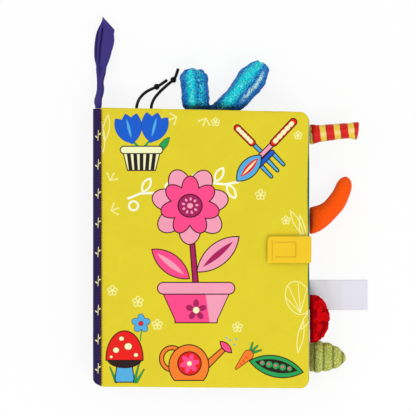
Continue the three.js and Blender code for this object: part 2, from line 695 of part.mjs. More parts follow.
// The cord cloth's ribs run across the tail, and the stuffing swells between their creases
function greenTail() {
  const group = groupAt(LEAF_FORE_X, GREEN_MIDDLE_Y, leafZ(3));
  const length = GREEN_LENGTH - SEAM_GAP;
  const ribs = Math.ceil((GREEN_LENGTH - GREEN_FIRST_CREASE) / GREEN_RIB_PITCH);
  const ribPlaces = Array.from({ length: ribs + 1 }, (_, rib) =>
    GREEN_RIB_SHARES.map((share) => GREEN_FIRST_CREASE + (rib - 1 + share) * GREEN_RIB_PITCH),
  ).flat();
  const kept = ribPlaces.filter((u) => u > 2 * SEAM_GAP && u < GREEN_LENGTH - 2 * SEAM_GAP);
  const shares = [0, ...kept.map((u) => (u - SEAM_GAP) / length), (1 + GREEN_TIP_SHARE) / 2, 1];
  const bulge = (t) => {
    const phase = (SEAM_GAP + t * length - GREEN_FIRST_CREASE) / GREEN_RIB_PITCH;
    return GREEN_CREASE * (Math.sqrt(Math.abs(Math.sin(Math.PI * phase))) - 1);
  };
  const bullet = (t) => {
    const past = Math.max(0, (t - GREEN_SHOULDER_SHARE) / (1 - GREEN_SHOULDER_SHARE));
    return Math.sqrt(1 - (GREEN_NARROW_SHARE * past) ** GREEN_BULLET_POWER) * tipRound(GREEN_TIP_SHARE, t);
  };
  const rise = filledOut(GREEN_ROUND, length);
  const part = {
    path: new THREE.LineCurve(v2(SEAM_GAP, 0), v2(GREEN_LENGTH, GREEN_LEAN)),
    shares: shares.sort((a, b) => a - b),
    width: (t) => (GREEN_WIDTH + 2 * bulge(t)) * bullet(t),
    thickness: (t) => THREE.MathUtils.lerp(TAIL_LIP, GREEN_THICKNESS + 2 * bulge(t), rise(t)) * bullet(t),
  };
  tail("green_tail", [part], MATERIALS.green, group);
}

// Each cord leaves the leaf's head edge, falls to the table and lies on it. Its knot is drawn round the point
// numbered knotAt, and its last stretch is past the knot.
const cordFloor = CORD_DIAMETER / 2 + TABLE_GAP;
const cordExit = (x) => headAt(x) - LEAF_SHORTFALL + LAYER_GAP;
const CORDS = {
  short: {
    knotAt: 13,
    route: [
      [-53.3, cordExit(-53.3), leafZ(2)],
      [-53.2, 116, 13.3],
      [-52.9, 117.6, 12.6],
      [-52.4, 119.3, 11],
      [-51.9, 120.8, 8.8],
      [-51.2, 122.3, 6.3],
      [-50.3, 123.7, 4.1],
      [-49.1, 125.2, 2.5],
      [-47.5, 126.8, 1.7],
      [-45.6, 128.3, cordFloor],
      [-43.6, 129.5, cordFloor],
      [-41.4, 130.6, cordFloor],
      [-39.1, 131.6, cordFloor],
      [-36.6, 132.7, cordFloor],
      [-34.3, 134, cordFloor],
      [-31.3, 136, cordFloor],
      [-28, 138.4, cordFloor],
    ],
  },
  long: {
    knotAt: 14,
    route: [
      [-41.2, cordExit(-41.2), leafZ(2)],
      [-41.1, 115.9, 13.3],
      [-40.8, 117.5, 12.6],
      [-40.3, 119.2, 11],
      [-39.7, 120.8, 8.8],
      [-38.9, 122.4, 6.3],
      [-37.9, 124, 4.1],
      [-36.5, 125.8, 2.5],
      [-34.9, 127.6, 1.7],
      [-33.2, 129.4, cordFloor],
      [-31.3, 131.2, cordFloor],
      [-29.3, 133, cordFloor],
      [-27.2, 134.8, cordFloor],
      [-25, 136.6, cordFloor],
      [-22.8, 138.5, cordFloor],
      [-21.2, 141, cordFloor],
      [-20, 144.2, cordFloor],
      [-18.9, 147.8, cordFloor],
    ],
  },
};

function tube(points) {
  const path = new THREE.CatmullRomCurve3(points);
  const section = new THREE.Shape(
    Array.from({ length: CORD_SIDES }, (_, i) => {
      const turn = (2 * Math.PI * i) / CORD_SIDES;
      return v2((CORD_DIAMETER / 2) * Math.cos(turn), (CORD_DIAMETER / 2) * Math.sin(turn));
    }),
  );
  const steps = Math.ceil(path.getLength() / (CORD_STEP * CORD_DIAMETER));
  return new THREE.ExtrudeGeometry(section, { extrudePath: path, steps, bevelEnabled: false });
}

// An overhand knot drawn tight: two rings of cord that cross each other round the cord
function knot(name, points, at) {
  const centre = points[at].clone().setZ(KNOT_RING + KNOT_STRAND + TABLE_GAP);
  const along = points[at + 1].clone().sub(points[at - 1]).setZ(0).normalize();
  const facing = new THREE.Quaternion().setFromUnitVectors(v3(0, 0, 1), along);
  const ring = (tilt) =>
    solidOf(
      new THREE.TorusGeometry(KNOT_RING, KNOT_STRAND, 8, 12)
        .rotateX(tilt)
        .applyQuaternion(facing)
        .translate(centre.x, centre.y, centre.z),
    );
  const entry = points[at].clone().addScaledVector(along, -KNOT_LENGTH / 2);
  const through = solidOf(tube([entry, ...points.slice(at)]));
  const core = solidOf(new THREE.SphereGeometry(KNOT_CORE, 10, 8).translate(centre.x, centre.y, centre.z));
  const made = ring(KNOT_TILT).add(ring(-KNOT_TILT)).add(core).add(through);
  place(name, geometryOf(made), MATERIALS.cord);
}

function cord(name) {
  const { route, knotAt } = CORDS[name];
  const points = route.map((p) => v3(...p));
  const clear = KNOT_LENGTH / 2 + LAYER_GAP;
  const before = points.slice(0, knotAt).filter((p) => p.distanceTo(points[knotAt]) > clear + CORD_DIAMETER / 2);
  const towards = points[knotAt - 1].clone().sub(points[knotAt]).normalize();
  const end = points[knotAt].clone().addScaledVector(towards, clear);
  place("antenna_" + name + "_cord", tube([...before, end]), MATERIALS.cord);
  knot("antenna_" + name + "_knot", points, knotAt);
}

cover("back_cover", BACK_Z, -1);
cover("front_cover", FRONT_Z, 1);
spineMargin("back_spine_margin", -1);
spineMargin("front_spine_margin", 1);
spine();
for (let number = 1; number <= LEAF_COUNT; number++) leaf(number);
closingStrap();
label();
hangingLoop();
wings();
stripedTail();
orangeTail();
redTail();
greenTail();
cord("short");
cord("long");

export default book;
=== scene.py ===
import bisect
import json
import math

import bmesh
import bpy
from mathutils import Matrix, Vector, noise
from mathutils.geometry import interpolate_bezier


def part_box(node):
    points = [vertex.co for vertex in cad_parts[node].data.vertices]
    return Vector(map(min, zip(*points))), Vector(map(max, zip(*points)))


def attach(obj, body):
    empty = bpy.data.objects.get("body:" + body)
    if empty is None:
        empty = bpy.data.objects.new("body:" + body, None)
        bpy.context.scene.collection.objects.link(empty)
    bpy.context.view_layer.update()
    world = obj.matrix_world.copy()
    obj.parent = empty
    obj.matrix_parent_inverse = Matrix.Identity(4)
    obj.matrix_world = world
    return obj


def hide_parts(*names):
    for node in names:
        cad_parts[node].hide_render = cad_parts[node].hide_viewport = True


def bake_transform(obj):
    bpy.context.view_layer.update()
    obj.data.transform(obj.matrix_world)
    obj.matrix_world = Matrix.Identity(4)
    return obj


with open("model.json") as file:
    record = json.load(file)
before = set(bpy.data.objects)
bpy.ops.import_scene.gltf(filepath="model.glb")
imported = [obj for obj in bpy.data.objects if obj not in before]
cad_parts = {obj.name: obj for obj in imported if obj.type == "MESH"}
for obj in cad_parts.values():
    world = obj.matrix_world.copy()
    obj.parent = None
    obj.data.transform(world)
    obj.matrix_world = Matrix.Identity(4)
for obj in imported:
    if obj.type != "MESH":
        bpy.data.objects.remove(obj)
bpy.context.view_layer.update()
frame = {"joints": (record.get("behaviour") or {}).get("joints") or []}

bl_info = {
    "name": "Crinkle cloth book",
    "version": (1, 0, 0),
    "blender": (4, 5, 0),
    "location": "View3D > Sidebar > Cloth book",
    "description": "Sews a padded cloth book with stuffed tails, a hanging loop and a closing strap",
    "category": "Add Mesh",
}

MM = 0.001

# The frame's own sizes, in metres
COVER_LOW, COVER_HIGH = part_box("front_cover_cloth")
SPINE_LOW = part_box("spine_cloth")[0]
MARGIN_LOW, MARGIN_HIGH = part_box("front_spine_margin")
RISER_LOW, RISER_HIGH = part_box("strap_riser")
FLAP_LOW, FLAP_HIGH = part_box("strap_flap")
LABEL_LOW, LABEL_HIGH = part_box("label")
BOOK_TOP = MARGIN_HIGH.z
# The seam beside the spine lies as photographed, a little nearer to the spine than in the frame
SEAM_X = COVER_LOW.x - 1.4 * MM
JOINTS = {joint["name"]: Vector(joint["pos_m"]) for joint in frame["joints"]}


def mm(x, y, z=0.0):
    """A point or a way that is given in millimetres."""
    return Vector((x * MM, y * MM, z * MM))


def srgb(red, green, blue):
    """A colour as it is seen, from 0 to 255, as the linear colour that a shader takes."""
    def linear(value):
        share = value / 255
        return share / 12.92 if share <= 0.04045 else ((share + 0.055) / 1.055) ** 2.4
    return (linear(red), linear(green), linear(blue), 1.0)


def colour_property(name, text, *rgb):
    return bpy.props.FloatVectorProperty(
        name=name, description=text, default=srgb(*rgb), size=4, min=0, max=1, subtype="COLOR"
    )


def length_property(name, text, millimetres):
    return bpy.props.FloatProperty(
        name=name, description=text, default=millimetres * MM, min=0, subtype="DISTANCE", unit="LENGTH"
    )


def plain_property(name, text, number):
    return bpy.props.FloatProperty(name=name, description=text, default=number)


class BookColours(bpy.types.PropertyGroup):
    cover: colour_property("Cover", "Ground colour of the printed cover cloth", 223, 205, 44)
    spine: colour_property("Spine", "Colour of the spine's cloth", 41, 24, 78)
    loop: colour_property("Hanging loop", "Colour of the hanging loop's cloth", 62, 50, 124)
    strap: colour_property("Strap", "Colour of the closing strap", 240, 198, 38)
    pale_line: colour_property("Pale print", "Colour of the pale line flowers on the cover", 244, 239, 160)
    outline: colour_property("Outline", "Colour of the dark lines round the printed motifs", 44, 12, 16)
    hot_pink: colour_property("Hot pink", "The stronger of the two printed pinks", 249, 74, 136)
    pale_pink: colour_property("Pale pink", "The paler of the two printed pinks", 242, 158, 182)
    plum: colour_property("Plum", "The darkest printed pink", 168, 32, 92)
    blue: colour_property("Blue", "The strong printed blue", 24, 92, 204)
    sky: colour_property("Sky blue", "The light printed blue", 84, 172, 222)
    red: colour_property("Red", "The printed red", 232, 30, 24)
    orange: colour_property("Orange", "The printed orange", 244, 126, 42)
    leaf: colour_property("Green", "The printed green", 40, 160, 84)
    cream: colour_property("Cream", "The printed cream", 240, 242, 190)
    ink: colour_property("Black", "The printed black", 40, 28, 26)
    foil: colour_property("Foil", "Deep colour of the foil wings", 0, 98, 200)
    # The colour of the painted reflection streaks on the foil wings
    foil_painted_reflection: colour_property("Foil shine", "Bright colour of the foil wings", 0, 228, 240)
    orange_fleece: colour_property("Orange fleece", "Colour of the bent orange tail", 255, 88, 8)
    red_plush: colour_property("Red plush", "Colour of the round red tail", 214, 8, 16)
    green_corduroy: colour_property("Green corduroy", "Colour of the ribbed green tail", 202, 208, 96)
    satin_red: colour_property("Red stripe", "Red of the striped satin tail", 214, 8, 6)
    satin_yellow: colour_property("Yellow stripe", "Yellow of the striped satin tail", 238, 206, 70)
    label: colour_property("Label", "Colour of the bare satin label", 244, 246, 252)
    cord: colour_property("Cord", "Colour of the knotted cords", 12, 11, 12)
    seam_thread: colour_property("Seam thread", "Thread of the whipped seam by the spine", 150, 24, 30)


class BookSizes(bpy.types.PropertyGroup):
    head_fall: length_property("Head fall", "How far the head edge falls from spine to fore-edge", 3.6)
    foot_fall: length_property("Foot fall", "How far the foot edge falls from spine to fore-edge", 1.4)
    corner: length_property("Corner", "Radius of the fore-edge corners", 7.5)
    spine_corner: length_property("Spine corner", "Radius of the corners by the spine", 1.2)
    edge_round: length_property("Edge round", "How far in a panel's padding rounds over", 7)
    cloth: length_property("Cloth", "Thickness of the printed cloth", 0.5)
    ripple: length_property("Ripple", "Height of the slow waves in a padded panel", 0.5)
    pucker: length_property("Pucker", "Height of the small waves along a sewn edge", 0.28)
    cover_grid: length_property("Cover grid", "Spacing of the points of a cover's cloth", 1.6)
    leaf_grid: length_property("Leaf grid", "Spacing of the points of a leaf's cloth", 3.2)
    stitch: length_property("Stitch", "Length of a stitch", 2.4)
    weave: length_property("Weave", "Distance between two threads of the cotton", 0.32)
    cord: length_property("Cord", "Thickness of the knotted cords", 2.5)
    lip: length_property("Lip", "Thickness of a tail's cloth where it is sewn in", 1.6)
    puff_start: length_property("Puff start", "How much smaller a stuffed skin is before it is blown up", 0.4)
    puff_cap: length_property("Puff cap", "The furthest that cloth may move as it is blown up", 1.2)
    puff_pressure: plain_property("Puff pressure", "Pressure inside a stuffed skin", 40000)
    puff_mass: plain_property("Puff mass", "Mass of a stuffed skin's cloth", 0.02)


def colours():
    return bpy.context.scene.book_colours


def sizes():
    return bpy.context.scene.book_sizes


# Shader helpers: a tree of nodes that is written from its inputs to its outputs

class Sketch:
    """Nodes in one tree. Each method adds one and gives its output."""

    def __init__(self, tree):
        self.tree = tree

    def node(self, kind, **settings):
        made = self.tree.nodes.new(kind)
        for name, value in settings.items():
            setattr(made, name, value)
        return made

    def feed(self, socket, value):
        if isinstance(value, bpy.types.NodeSocket):
            self.tree.links.new(value, socket)
        elif value is not None:
            socket.default_value = value

    def math(self, operation, *values):
        made = self.node("ShaderNodeMath", operation=operation)
        for socket, value in zip(made.inputs, values):
            self.feed(socket, value)
        return made.outputs[0]

    def plus(self, first, second):
        return self.math("ADD", first, second)

    def minus(self, first, second):
        return self.math("SUBTRACT", first, second)

    def times(self, first, second):
        return self.math("MULTIPLY", first, second)

    def over(self, first, second):
        return self.math("DIVIDE", first, second)

    def size(self, value):
        return self.math("ABSOLUTE", value)

    def vector(self, operation, *values, scale=None):
        made = self.node("ShaderNodeVectorMath", operation=operation)
        for socket, value in zip(made.inputs, values):
            self.feed(socket, value)
        if scale is not None:
            self.feed(made.inputs["Scale"], scale)
        return made.outputs["Value"] if operation in ("LENGTH", "DOT_PRODUCT") else made.outputs["Vector"]

    def turned(self, vector, angle):
        made = self.node("ShaderNodeVectorRotate", rotation_type="Z_AXIS")
        self.feed(made.inputs["Vector"], vector)
        self.feed(made.inputs["Angle"], angle)
        return made.outputs["Vector"]

    def split(self, vector):
        """The parts of a vector across and up the cloth."""
        return self.vector("DOT_PRODUCT", vector, (1, 0, 0)), self.vector("DOT_PRODUCT", vector, (0, 1, 0))

    def joined(self, x, y, z=0.0):
        made = self.node("ShaderNodeCombineXYZ")
        for socket, value in zip(made.inputs, (x, y, z)):
            self.feed(socket, value)
        return made.outputs[0]

    def mix(self, factor, first, second):
        made = self.node("ShaderNodeMix", data_type="RGBA")
        self.feed(made.inputs["Factor"], factor)
        self.feed(made.inputs["A"], first)
        self.feed(made.inputs["B"], second)
        return made.outputs["Result"]

    def limited(self, value, low=0.0, high=1.0):
        return self.math("MINIMUM", self.math("MAXIMUM", value, low), high)

    def between(self, value, from_low, from_high, to_low=0.0, to_high=1.0):
        """A share of one range moved to another. The limits are nodes of their own, because a long print
        that uses the clamp switches takes more room than a shader has."""
        made = self.node("ShaderNodeMapRange", clamp=False)
        for socket, given in zip(made.inputs, (value, from_low, from_high, 0.0, 1.0)):
            self.feed(socket, given)
        share = self.limited(made.outputs[0])
        if (to_low, to_high) == (0.0, 1.0):
            return share
        return self.math("MULTIPLY_ADD", share, to_high - to_low, to_low)

    def noise(self, vector, scale, detail=2.0, roughness=0.5, distortion=0.0):
        made = self.node("ShaderNodeTexNoise")
        self.feed(made.inputs["Vector"], vector)
        settings = {"Scale": scale, "Detail": detail, "Roughness": roughness, "Distortion": distortion}
        for name, value in settings.items():
            self.feed(made.inputs[name], value)
        return made.outputs

    def cells(self, vector, scale):
        made = self.node("ShaderNodeTexVoronoi")
        self.feed(made.inputs["Vector"], vector)
        self.feed(made.inputs["Scale"], scale)
        return made.outputs

    def group(self, name, **values):
        made = self.node("ShaderNodeGroup", node_tree=bpy.data.node_groups[name])
        for socket, value in values.items():
            self.feed(made.inputs[socket.replace("_", " ")], value)
        return made.outputs


VECTOR_SOCKETS = ("Point", "Centre", "From", "To", "Half size")
COLOUR_SOCKETS = ("Under", "Fill", "Line", "Colour")


def new_group(name, inputs, outputs=("Distance",)):
    """An empty shader node group: its sketch, what it is given and what it puts out."""
    tree = bpy.data.node_groups.new(name, "ShaderNodeTree")
    for direction, sockets in (("INPUT", inputs), ("OUTPUT", outputs)):
        for socket in sockets:
            kind = "Vector" if socket in VECTOR_SOCKETS else "Color" if socket in COLOUR_SOCKETS else "Float"
            tree.interface.new_socket(socket, in_out=direction, socket_type="NodeSocket" + kind)
    sketch = Sketch(tree)
    return sketch, sketch.node("NodeGroupInput").outputs, sketch.node("NodeGroupOutput").inputs


def seen_from_centre(s, given):
    """The point as seen from the shape's centre, along and across its turn."""
    return s.turned(s.vector("SUBTRACT", given["Point"], given["Centre"]), s.times(given["Turn"], -1.0))


def group_weave():
    """Plain weave: threads over and under each other, as a height and as a slight shade."""
    s, given, out = new_group("Plain weave", ("Point", "Thread"), ("Height", "Shade"))
    x, y = s.split(s.vector("SCALE", given["Point"], scale=s.over(math.pi, given["Thread"])))
    along = s.math("SINE", x)
    across = s.math("SINE", y)
    over = s.times(along, across)
    ridges = s.plus(s.size(along), s.size(across))
    height = s.plus(s.times(over, 0.5), s.times(ridges, 0.35))
    s.feed(out["Height"], height)
    s.feed(out["Shade"], s.between(height, -0.5, 1.2, 0.93, 1.04))


def group_uneven_dye():
    """Uneven dye and thread: a slow change of shade and a fine grain."""
    s, given, out = new_group("Uneven dye", ("Point", "Amount"), ("Shade",))
    slow = s.noise(given["Point"], 0.035, 3.0, 0.5)["Fac"]
    grain = s.noise(given["Point"], 2.2, 2.0, 0.6)["Fac"]
    both = s.plus(s.times(s.minus(slow, 0.5), 1.2), s.times(s.minus(grain, 0.5), 0.5))
    s.feed(out["Shade"], s.plus(1.0, s.times(both, given["Amount"])))


def group_creases():
    """Soft creases of handled cloth over crinkle film, as a height."""
    s, given, out = new_group("Handled creases", ("Point", "Scale"), ("Height",))
    bent = s.noise(given["Point"], s.times(given["Scale"], 0.6), 2.0, 0.5)["Color"]
    moved = s.vector("ADD", given["Point"], s.vector("SCALE", bent, scale=s.over(0.5, given["Scale"])))
    slow = s.noise(moved, given["Scale"], 3.0, 0.55)["Fac"]
    s.feed(out["Height"], s.between(s.size(s.minus(slow, 0.5)), 0.0, 0.12))


def group_oval():
    """The distance in millimetres to an oval's edge, below zero inside."""
    s, given, out = new_group("Oval shape", ("Point", "Centre", "Turn", "Half size"))
    once = s.vector("DIVIDE", seen_from_centre(s, given), given["Half size"])
    twice = s.vector("DIVIDE", once, given["Half size"])
    share = s.vector("LENGTH", once)
    slope = s.math("MAXIMUM", s.vector("LENGTH", twice), 0.0001)
    s.feed(out["Distance"], s.over(s.times(share, s.minus(share, 1.0)), slope))


def group_bar():
    """The distance to a bar with round ends, whose half width may change from one end to the other."""
    s, given, out = new_group("Bar shape", ("Point", "From", "To", "Half width", "End half width"))
    start = s.vector("SUBTRACT", given["Point"], given["From"])
    run = s.vector("SUBTRACT", given["To"], given["From"])
    along = s.limited(s.over(s.vector("DOT_PRODUCT", start, run), s.vector("DOT_PRODUCT", run, run)))
    off = s.vector("LENGTH", s.vector("SUBTRACT", start, s.vector("SCALE", run, scale=along)))
    growth = s.minus(given["End half width"], given["Half width"])
    s.feed(out["Distance"], s.minus(off, s.plus(given["Half width"], s.times(along, growth))))


def group_leaf():
    """The distance to a pointed leaf: the overlap of two circles."""
    s, given, out = new_group("Leaf shape", ("Point", "Centre", "Turn", "Radius", "Offset"))
    one_side = s.vector("ABSOLUTE", seen_from_centre(s, given))
    far = s.vector("ADD", one_side, s.joined(0.0, given["Offset"]))
    s.feed(out["Distance"], s.minus(s.vector("LENGTH", far), given["Radius"]))


def group_petals():
    """The distance to a ring of oval petals round a centre."""
    s, given, out = new_group("Petal ring", ("Point", "Centre", "Turn", "Count", "Reach", "Half size"))
    local = s.vector("SUBTRACT", given["Point"], given["Centre"])
    x, y = s.split(local)
    radius = s.vector("LENGTH", local)
    turns = s.over(s.minus(s.math("ARCTAN2", y, x), given["Turn"]), math.tau)
    petal = s.math("FRACT", s.plus(s.times(turns, given["Count"]), 0.5))
    within = s.times(s.minus(petal, 0.5), s.over(math.tau, given["Count"]))
    folded = s.joined(s.times(radius, s.math("COSINE", within)), s.times(radius, s.math("SINE", within)))
    oval = s.group("Oval shape", Point=folded, Centre=s.joined(given["Reach"], 0.0), Turn=0.0,
                   Half_size=given["Half size"])
    s.feed(out["Distance"], oval["Distance"])


def group_ink():
    """Lays a printed shape with an outline over the colour below it."""
    s, given, out = new_group("Ink", ("Under", "Distance", "Fill", "Line", "Line width"), ("Colour",))
    soft = 0.12
    outer = s.between(s.minus(given["Distance"], given["Line width"]), soft, -soft)
    inner = s.between(given["Distance"], soft, -soft)
    lined = s.mix(outer, given["Under"], given["Line"])
    s.feed(out["Colour"], s.mix(inner, lined, given["Fill"]))


SHADER_GROUPS = (
    group_weave, group_uneven_dye, group_creases, group_oval, group_bar, group_leaf, group_petals, group_ink,
)
ANY_HEIGHT = 1000


class Print:
    """Shapes laid one over the other on a cloth. Their places are in millimetres, as seen from above."""

    def __init__(self, sketch, point, ground):
        self.s = sketch
        self.point = sketch.vector("MULTIPLY", point, (1, 1, 0))
        self.colour = ground

    def shape(self, kind, **values):
        return self.s.group(kind, Point=self.point, **values)["Distance"]

    def oval(self, centre, half_size, turn=0.0):
        return self.shape("Oval shape", Centre=(*centre, 0), Turn=math.radians(turn),
                          Half_size=(*half_size, ANY_HEIGHT))

    def dot(self, centre, radius):
        return self.oval(centre, (radius, radius))

    def bar(self, start, end, half, end_half=None):
        return self.shape("Bar shape", From=(*start, 0), To=(*end, 0), Half_width=half,
                          End_half_width=half if end_half is None else end_half)

    def leaf(self, centre, half_length, half_width, turn=0.0):
        radius = (half_length ** 2 + half_width ** 2) / (2 * half_width)
        return self.shape("Leaf shape", Centre=(*centre, 0), Turn=math.radians(turn), Radius=radius,
                          Offset=radius - half_width)

    def petals(self, centre, count, reach, half_size, turn=0.0):
        return self.shape("Petal ring", Centre=(*centre, 0), Turn=math.radians(turn), Count=count,
                          Reach=reach, Half_size=(*half_size, ANY_HEIGHT))

    def both(self, first, *others):
        for other in others:
            first = self.s.math("MINIMUM", first, other)
        return first

    def within(self, inner, outer):
        return self.s.math("MAXIMUM", inner, outer)

    def ring(self, distance, half):
        """The line that runs along a shape's edge."""
        return self.s.minus(self.s.size(distance), half)

    def side(self, through, turn):
        """The half of the cloth on one side of a line."""
        away = (math.cos(math.radians(turn)), math.sin(math.radians(turn)), 0)
        return self.s.vector("DOT_PRODUCT", self.s.vector("SUBTRACT", self.point, (*through, 0)), away)

    def ink(self, distance, fill, width=0.9, line=None):
        line = colours().outline if line is None else line
        self.colour = self.s.group("Ink", Under=self.colour, Distance=distance, Fill=tuple(fill),
                                   Line=tuple(line), Line_width=width)["Colour"]

    def plain(self, distance, fill):
        self.ink(distance, fill, 0.0, fill)


def beyond(point, reach, turn):
    """The place at a reach from a point, in the direction of a turn in radians."""
    return point[0] + reach * math.cos(turn), point[1] + reach * math.sin(turn)


# The cover's printed garden motifs. Each line gives places and sizes in millimetres, and turns in degrees

def print_flower_pot(p, c):
    """The large pink potted flower in the middle."""
    p.ink(p.bar((-4, -35), (-9, 24), 1.9, 1.5), c.plum)
    for centre, half_length, half_width, turn, fill, vein, vein_fill in (
        ((-25, -14), 19, 7.5, 142, c.hot_pink, (14, 2.2), c.pale_pink),
        ((14, -6), 22, 8.5, 40, c.pale_pink, (16, 2.4), c.plum),
    ):
        p.ink(p.leaf(centre, half_length, half_width, turn), fill)
        p.plain(p.leaf(centre, *vein, turn), vein_fill)
    flower = (-9, 34)
    p.ink(p.petals(flower, 7, 19, (12.5, 8.6), 12), c.pale_pink)
    p.ink(p.petals(flower, 7, 13.5, (10.5, 6.6), 38), c.hot_pink)
    p.ink(p.oval(flower, (9.5, 9)), c.plum)
    p.plain(p.petals(flower, 9, 5.6, (1.3, 0.9), 5), c.pale_pink)
    p.plain(p.oval(flower, (2.4, 2.2)), c.pale_pink)
    body = p.within(p.bar((-4, -38), (-4, -60), 27, 17), p.side((-4, -36), 90))
    pot = p.within(body, p.side((-4, -62), 270))
    p.ink(pot, c.hot_pink)
    p.plain(p.within(pot, p.side((4, -40), 188)), c.pale_pink)
    p.plain(p.within(p.petals((-4, -52), 5, 5.4, (3.4, 2.4), 18), pot), c.plum)
    p.plain(p.dot((-4, -52), 2.6), c.cream)
    p.ink(p.bar((-31, -34), (23, -34), 4.4), c.pale_pink)


def print_tulips(p, c):
    """Top left: two blue tulips in a cream pot with black stripes."""
    for place, turn in (((-57, 88), 104), ((-41, 89), 76)):
        p.plain(p.bar((-49, 80), place, 0.9), c.leaf)
        turns = (turn - 24, turn, turn + 24)
        heads = [p.leaf(beyond(place, 9.6, math.radians(t)), 12.5, 6.2, t) for t in turns]
        p.ink(p.both(*heads), c.blue, 0.3, srgb(16, 56, 140))
        p.plain(p.leaf(beyond(place, 10, math.radians(turn)), 8, 1.1, turn), c.sky)
    p.ink(p.leaf((-31, 84), 8, 2.6, 52), c.leaf, 0.4)
    body = p.within(p.bar((-49, 79), (-49, 63), 15, 11), p.side((-49, 79), 90))
    pot = p.within(body, p.side((-49, 63.5), 270))
    p.ink(pot, c.cream)
    for x in (-60, -54.5, -49, -43.5, -38):
        p.plain(p.within(p.bar((x, 80), (x * 0.78 - 10.8, 61), 1.5), pot), c.ink)
    p.ink(p.bar((-63.5, 80), (-34.5, 80), 2.6), c.cream)


def striped_handle(p, c, start, end, half):
    handle = p.bar(start, end, half)
    p.ink(handle, c.red)
    for share in (0.1, 0.3, 0.5, 0.7, 0.9):
        ends = [tuple(a + (b - a) * (share + step) for a, b in zip(start, end)) for step in (-0.03, 0.03)]
        p.plain(p.within(p.bar(*ends, half * 0.72), handle), c.cream)


def print_garden_tools(p, c):
    """Top right: a hand fork and a trowel with striped handles, crossed."""
    p.ink(p.bar((43, 85), (53, 75), 1.1), c.sky)
    tines = ((48.5, 68), (58, 58)), ((53.5, 73), (63, 63)), ((58.5, 78), (68, 68))
    p.ink(p.both(*(p.bar(a, b, 1.3, 0.8) for a, b in tines)), c.sky)
    p.ink(p.bar((48.5, 68), (58.5, 78), 1.5), c.blue)
    striped_handle(p, c, (30, 98), (42, 86), 2.3)
    p.ink(p.bar((58, 84), (49, 75), 1.5), c.pale_pink)
    p.ink(p.leaf((39.5, 65), 14, 6.6, 47), c.sky)
    p.plain(p.leaf((40, 65.5), 10.5, 2.8, 47), c.red)
    p.plain(p.leaf((40, 65.5), 8.5, 0.9, 47), c.cream)
    striped_handle(p, c, (60, 86), (76, 103), 2.5)


def print_toadstool(p, c):
    """Bottom left: a red toadstool with pale spots, grass and a light blue bell flower."""
    for start, end in (((-55, -111), (-51, -96)), ((-53, -111), (-47, -101)), ((-70, -111), (-75, -99))):
        p.ink(p.bar(start, end, 1.1, 0.3), c.leaf, 0.3)
    p.ink(p.within(p.bar((-63, -92), (-63, -108), 5, 7.4), p.side((-63, -111), 270)), c.sky)
    p.ink(p.within(p.oval((-63, -92), (13.6, 7)), p.side((-63, -92), 90)), c.ink)
    p.ink(p.within(p.oval((-63, -92), (14.8, 22.4)), p.side((-63, -93), 270)), c.red)
    for x, y, r in ((-70, -85, 2.4), (-60, -82, 3.0), (-53.6, -89, 1.7), (-65.5, -75.5, 1.9),
                    (-74, -90.6, 1.2)):
        p.ink(p.oval((x, y), (r, r * 0.9)), c.cream, 0.25)
    p.plain(p.bar((-50, -77), (-48.5, -63), 0.5), c.leaf)
    p.ink(p.petals((-49.5, -63), 5, 4.2, (3.5, 2.7), 18), c.sky, 0.4)
    p.ink(p.dot((-49.5, -63), 1.8), c.red, 0.3)


def print_watering_can(p, c):
    """Bottom middle: an orange watering can with a round flower badge."""
    p.ink(p.ring(p.oval((-24, -92), (8.5, 9)), 1.3), c.orange)
    p.ink(p.bar((0, -102), (19, -84), 2.6, 1.5), c.orange)
    p.ink(p.leaf((20.5, -82.5), 6, 2.4, -45), c.hot_pink)
    for drop in ((24, -77), (27.5, -80.5), (21, -75), (29, -76)):
        p.plain(p.oval(drop, (0.7, 0.9)), c.sky)
    p.ink(p.within(p.oval((-10, -98), (16, 17)), p.side((-10, -109.5), 270)), c.orange)
    badge = (-9.5, -96)
    p.ink(p.dot(badge, 9.2), c.red)
    p.plain(p.petals(badge, 6, 4.6, (3.4, 2.1), 12), c.hot_pink)
    p.plain(p.dot(badge, 1.9), c.cream)


def print_pea_pod(p, c):
    """Bottom right: an open pea pod with pink-dotted peas, and a small carrot."""
    for end in ((46.5, -81.5), (42.5, -79), (49.5, -85)):
        p.ink(p.bar((40, -88), end, 1.0, 0.5), c.leaf, 0.3)
    p.ink(p.bar((39, -89), (29, -100), 3.9, 0.7), c.orange, 0.55)
    for x, y in ((36.5, -90), (34.5, -93.5), (32, -95.5)):
        p.plain(p.bar((x, y), (x + 1.6, y - 1.7), 0.3), c.red)
    p.ink(p.leaf((62, -98.5), 22, 8.2, -12), c.leaf)
    p.ink(p.leaf((62, -98.2), 18, 5.2, -12), c.ink, 0.0)
    for step, radius in enumerate((2.1, 2.7, 2.7, 2.7, 2.1)):
        x = 50.5 + step * 5.6
        y = -95.6 - step * 1.19
        p.ink(p.dot((x, y), radius), c.leaf, 0.35)
        p.plain(p.dot((x - 0.3, y + 0.3), 0.95), c.hot_pink)


def print_garland(p, c):
    """A drawn white garland of leaves and buds that rises to the right."""
    white = srgb(246, 248, 222)
    knots = [(-60 + step * 10, 40 + step * 1.7 + 2.4 * math.sin(step * 1.3)) for step in range(11)]
    for step, ((x, y), after) in enumerate(zip(knots, knots[1:])):
        p.plain(p.bar((x, y), after, 0.9), white)
        up = 1 if step % 2 else -1
        if step % 3:
            p.plain(p.ring(p.leaf((x + 5, y + up * 6.4 + 0.6), 6.2, 2.9, 60 * up), 0.75), white)
        else:
            p.plain(p.ring(p.dot((x + 4.4, y + up * 6), 3.7), 0.8), white)


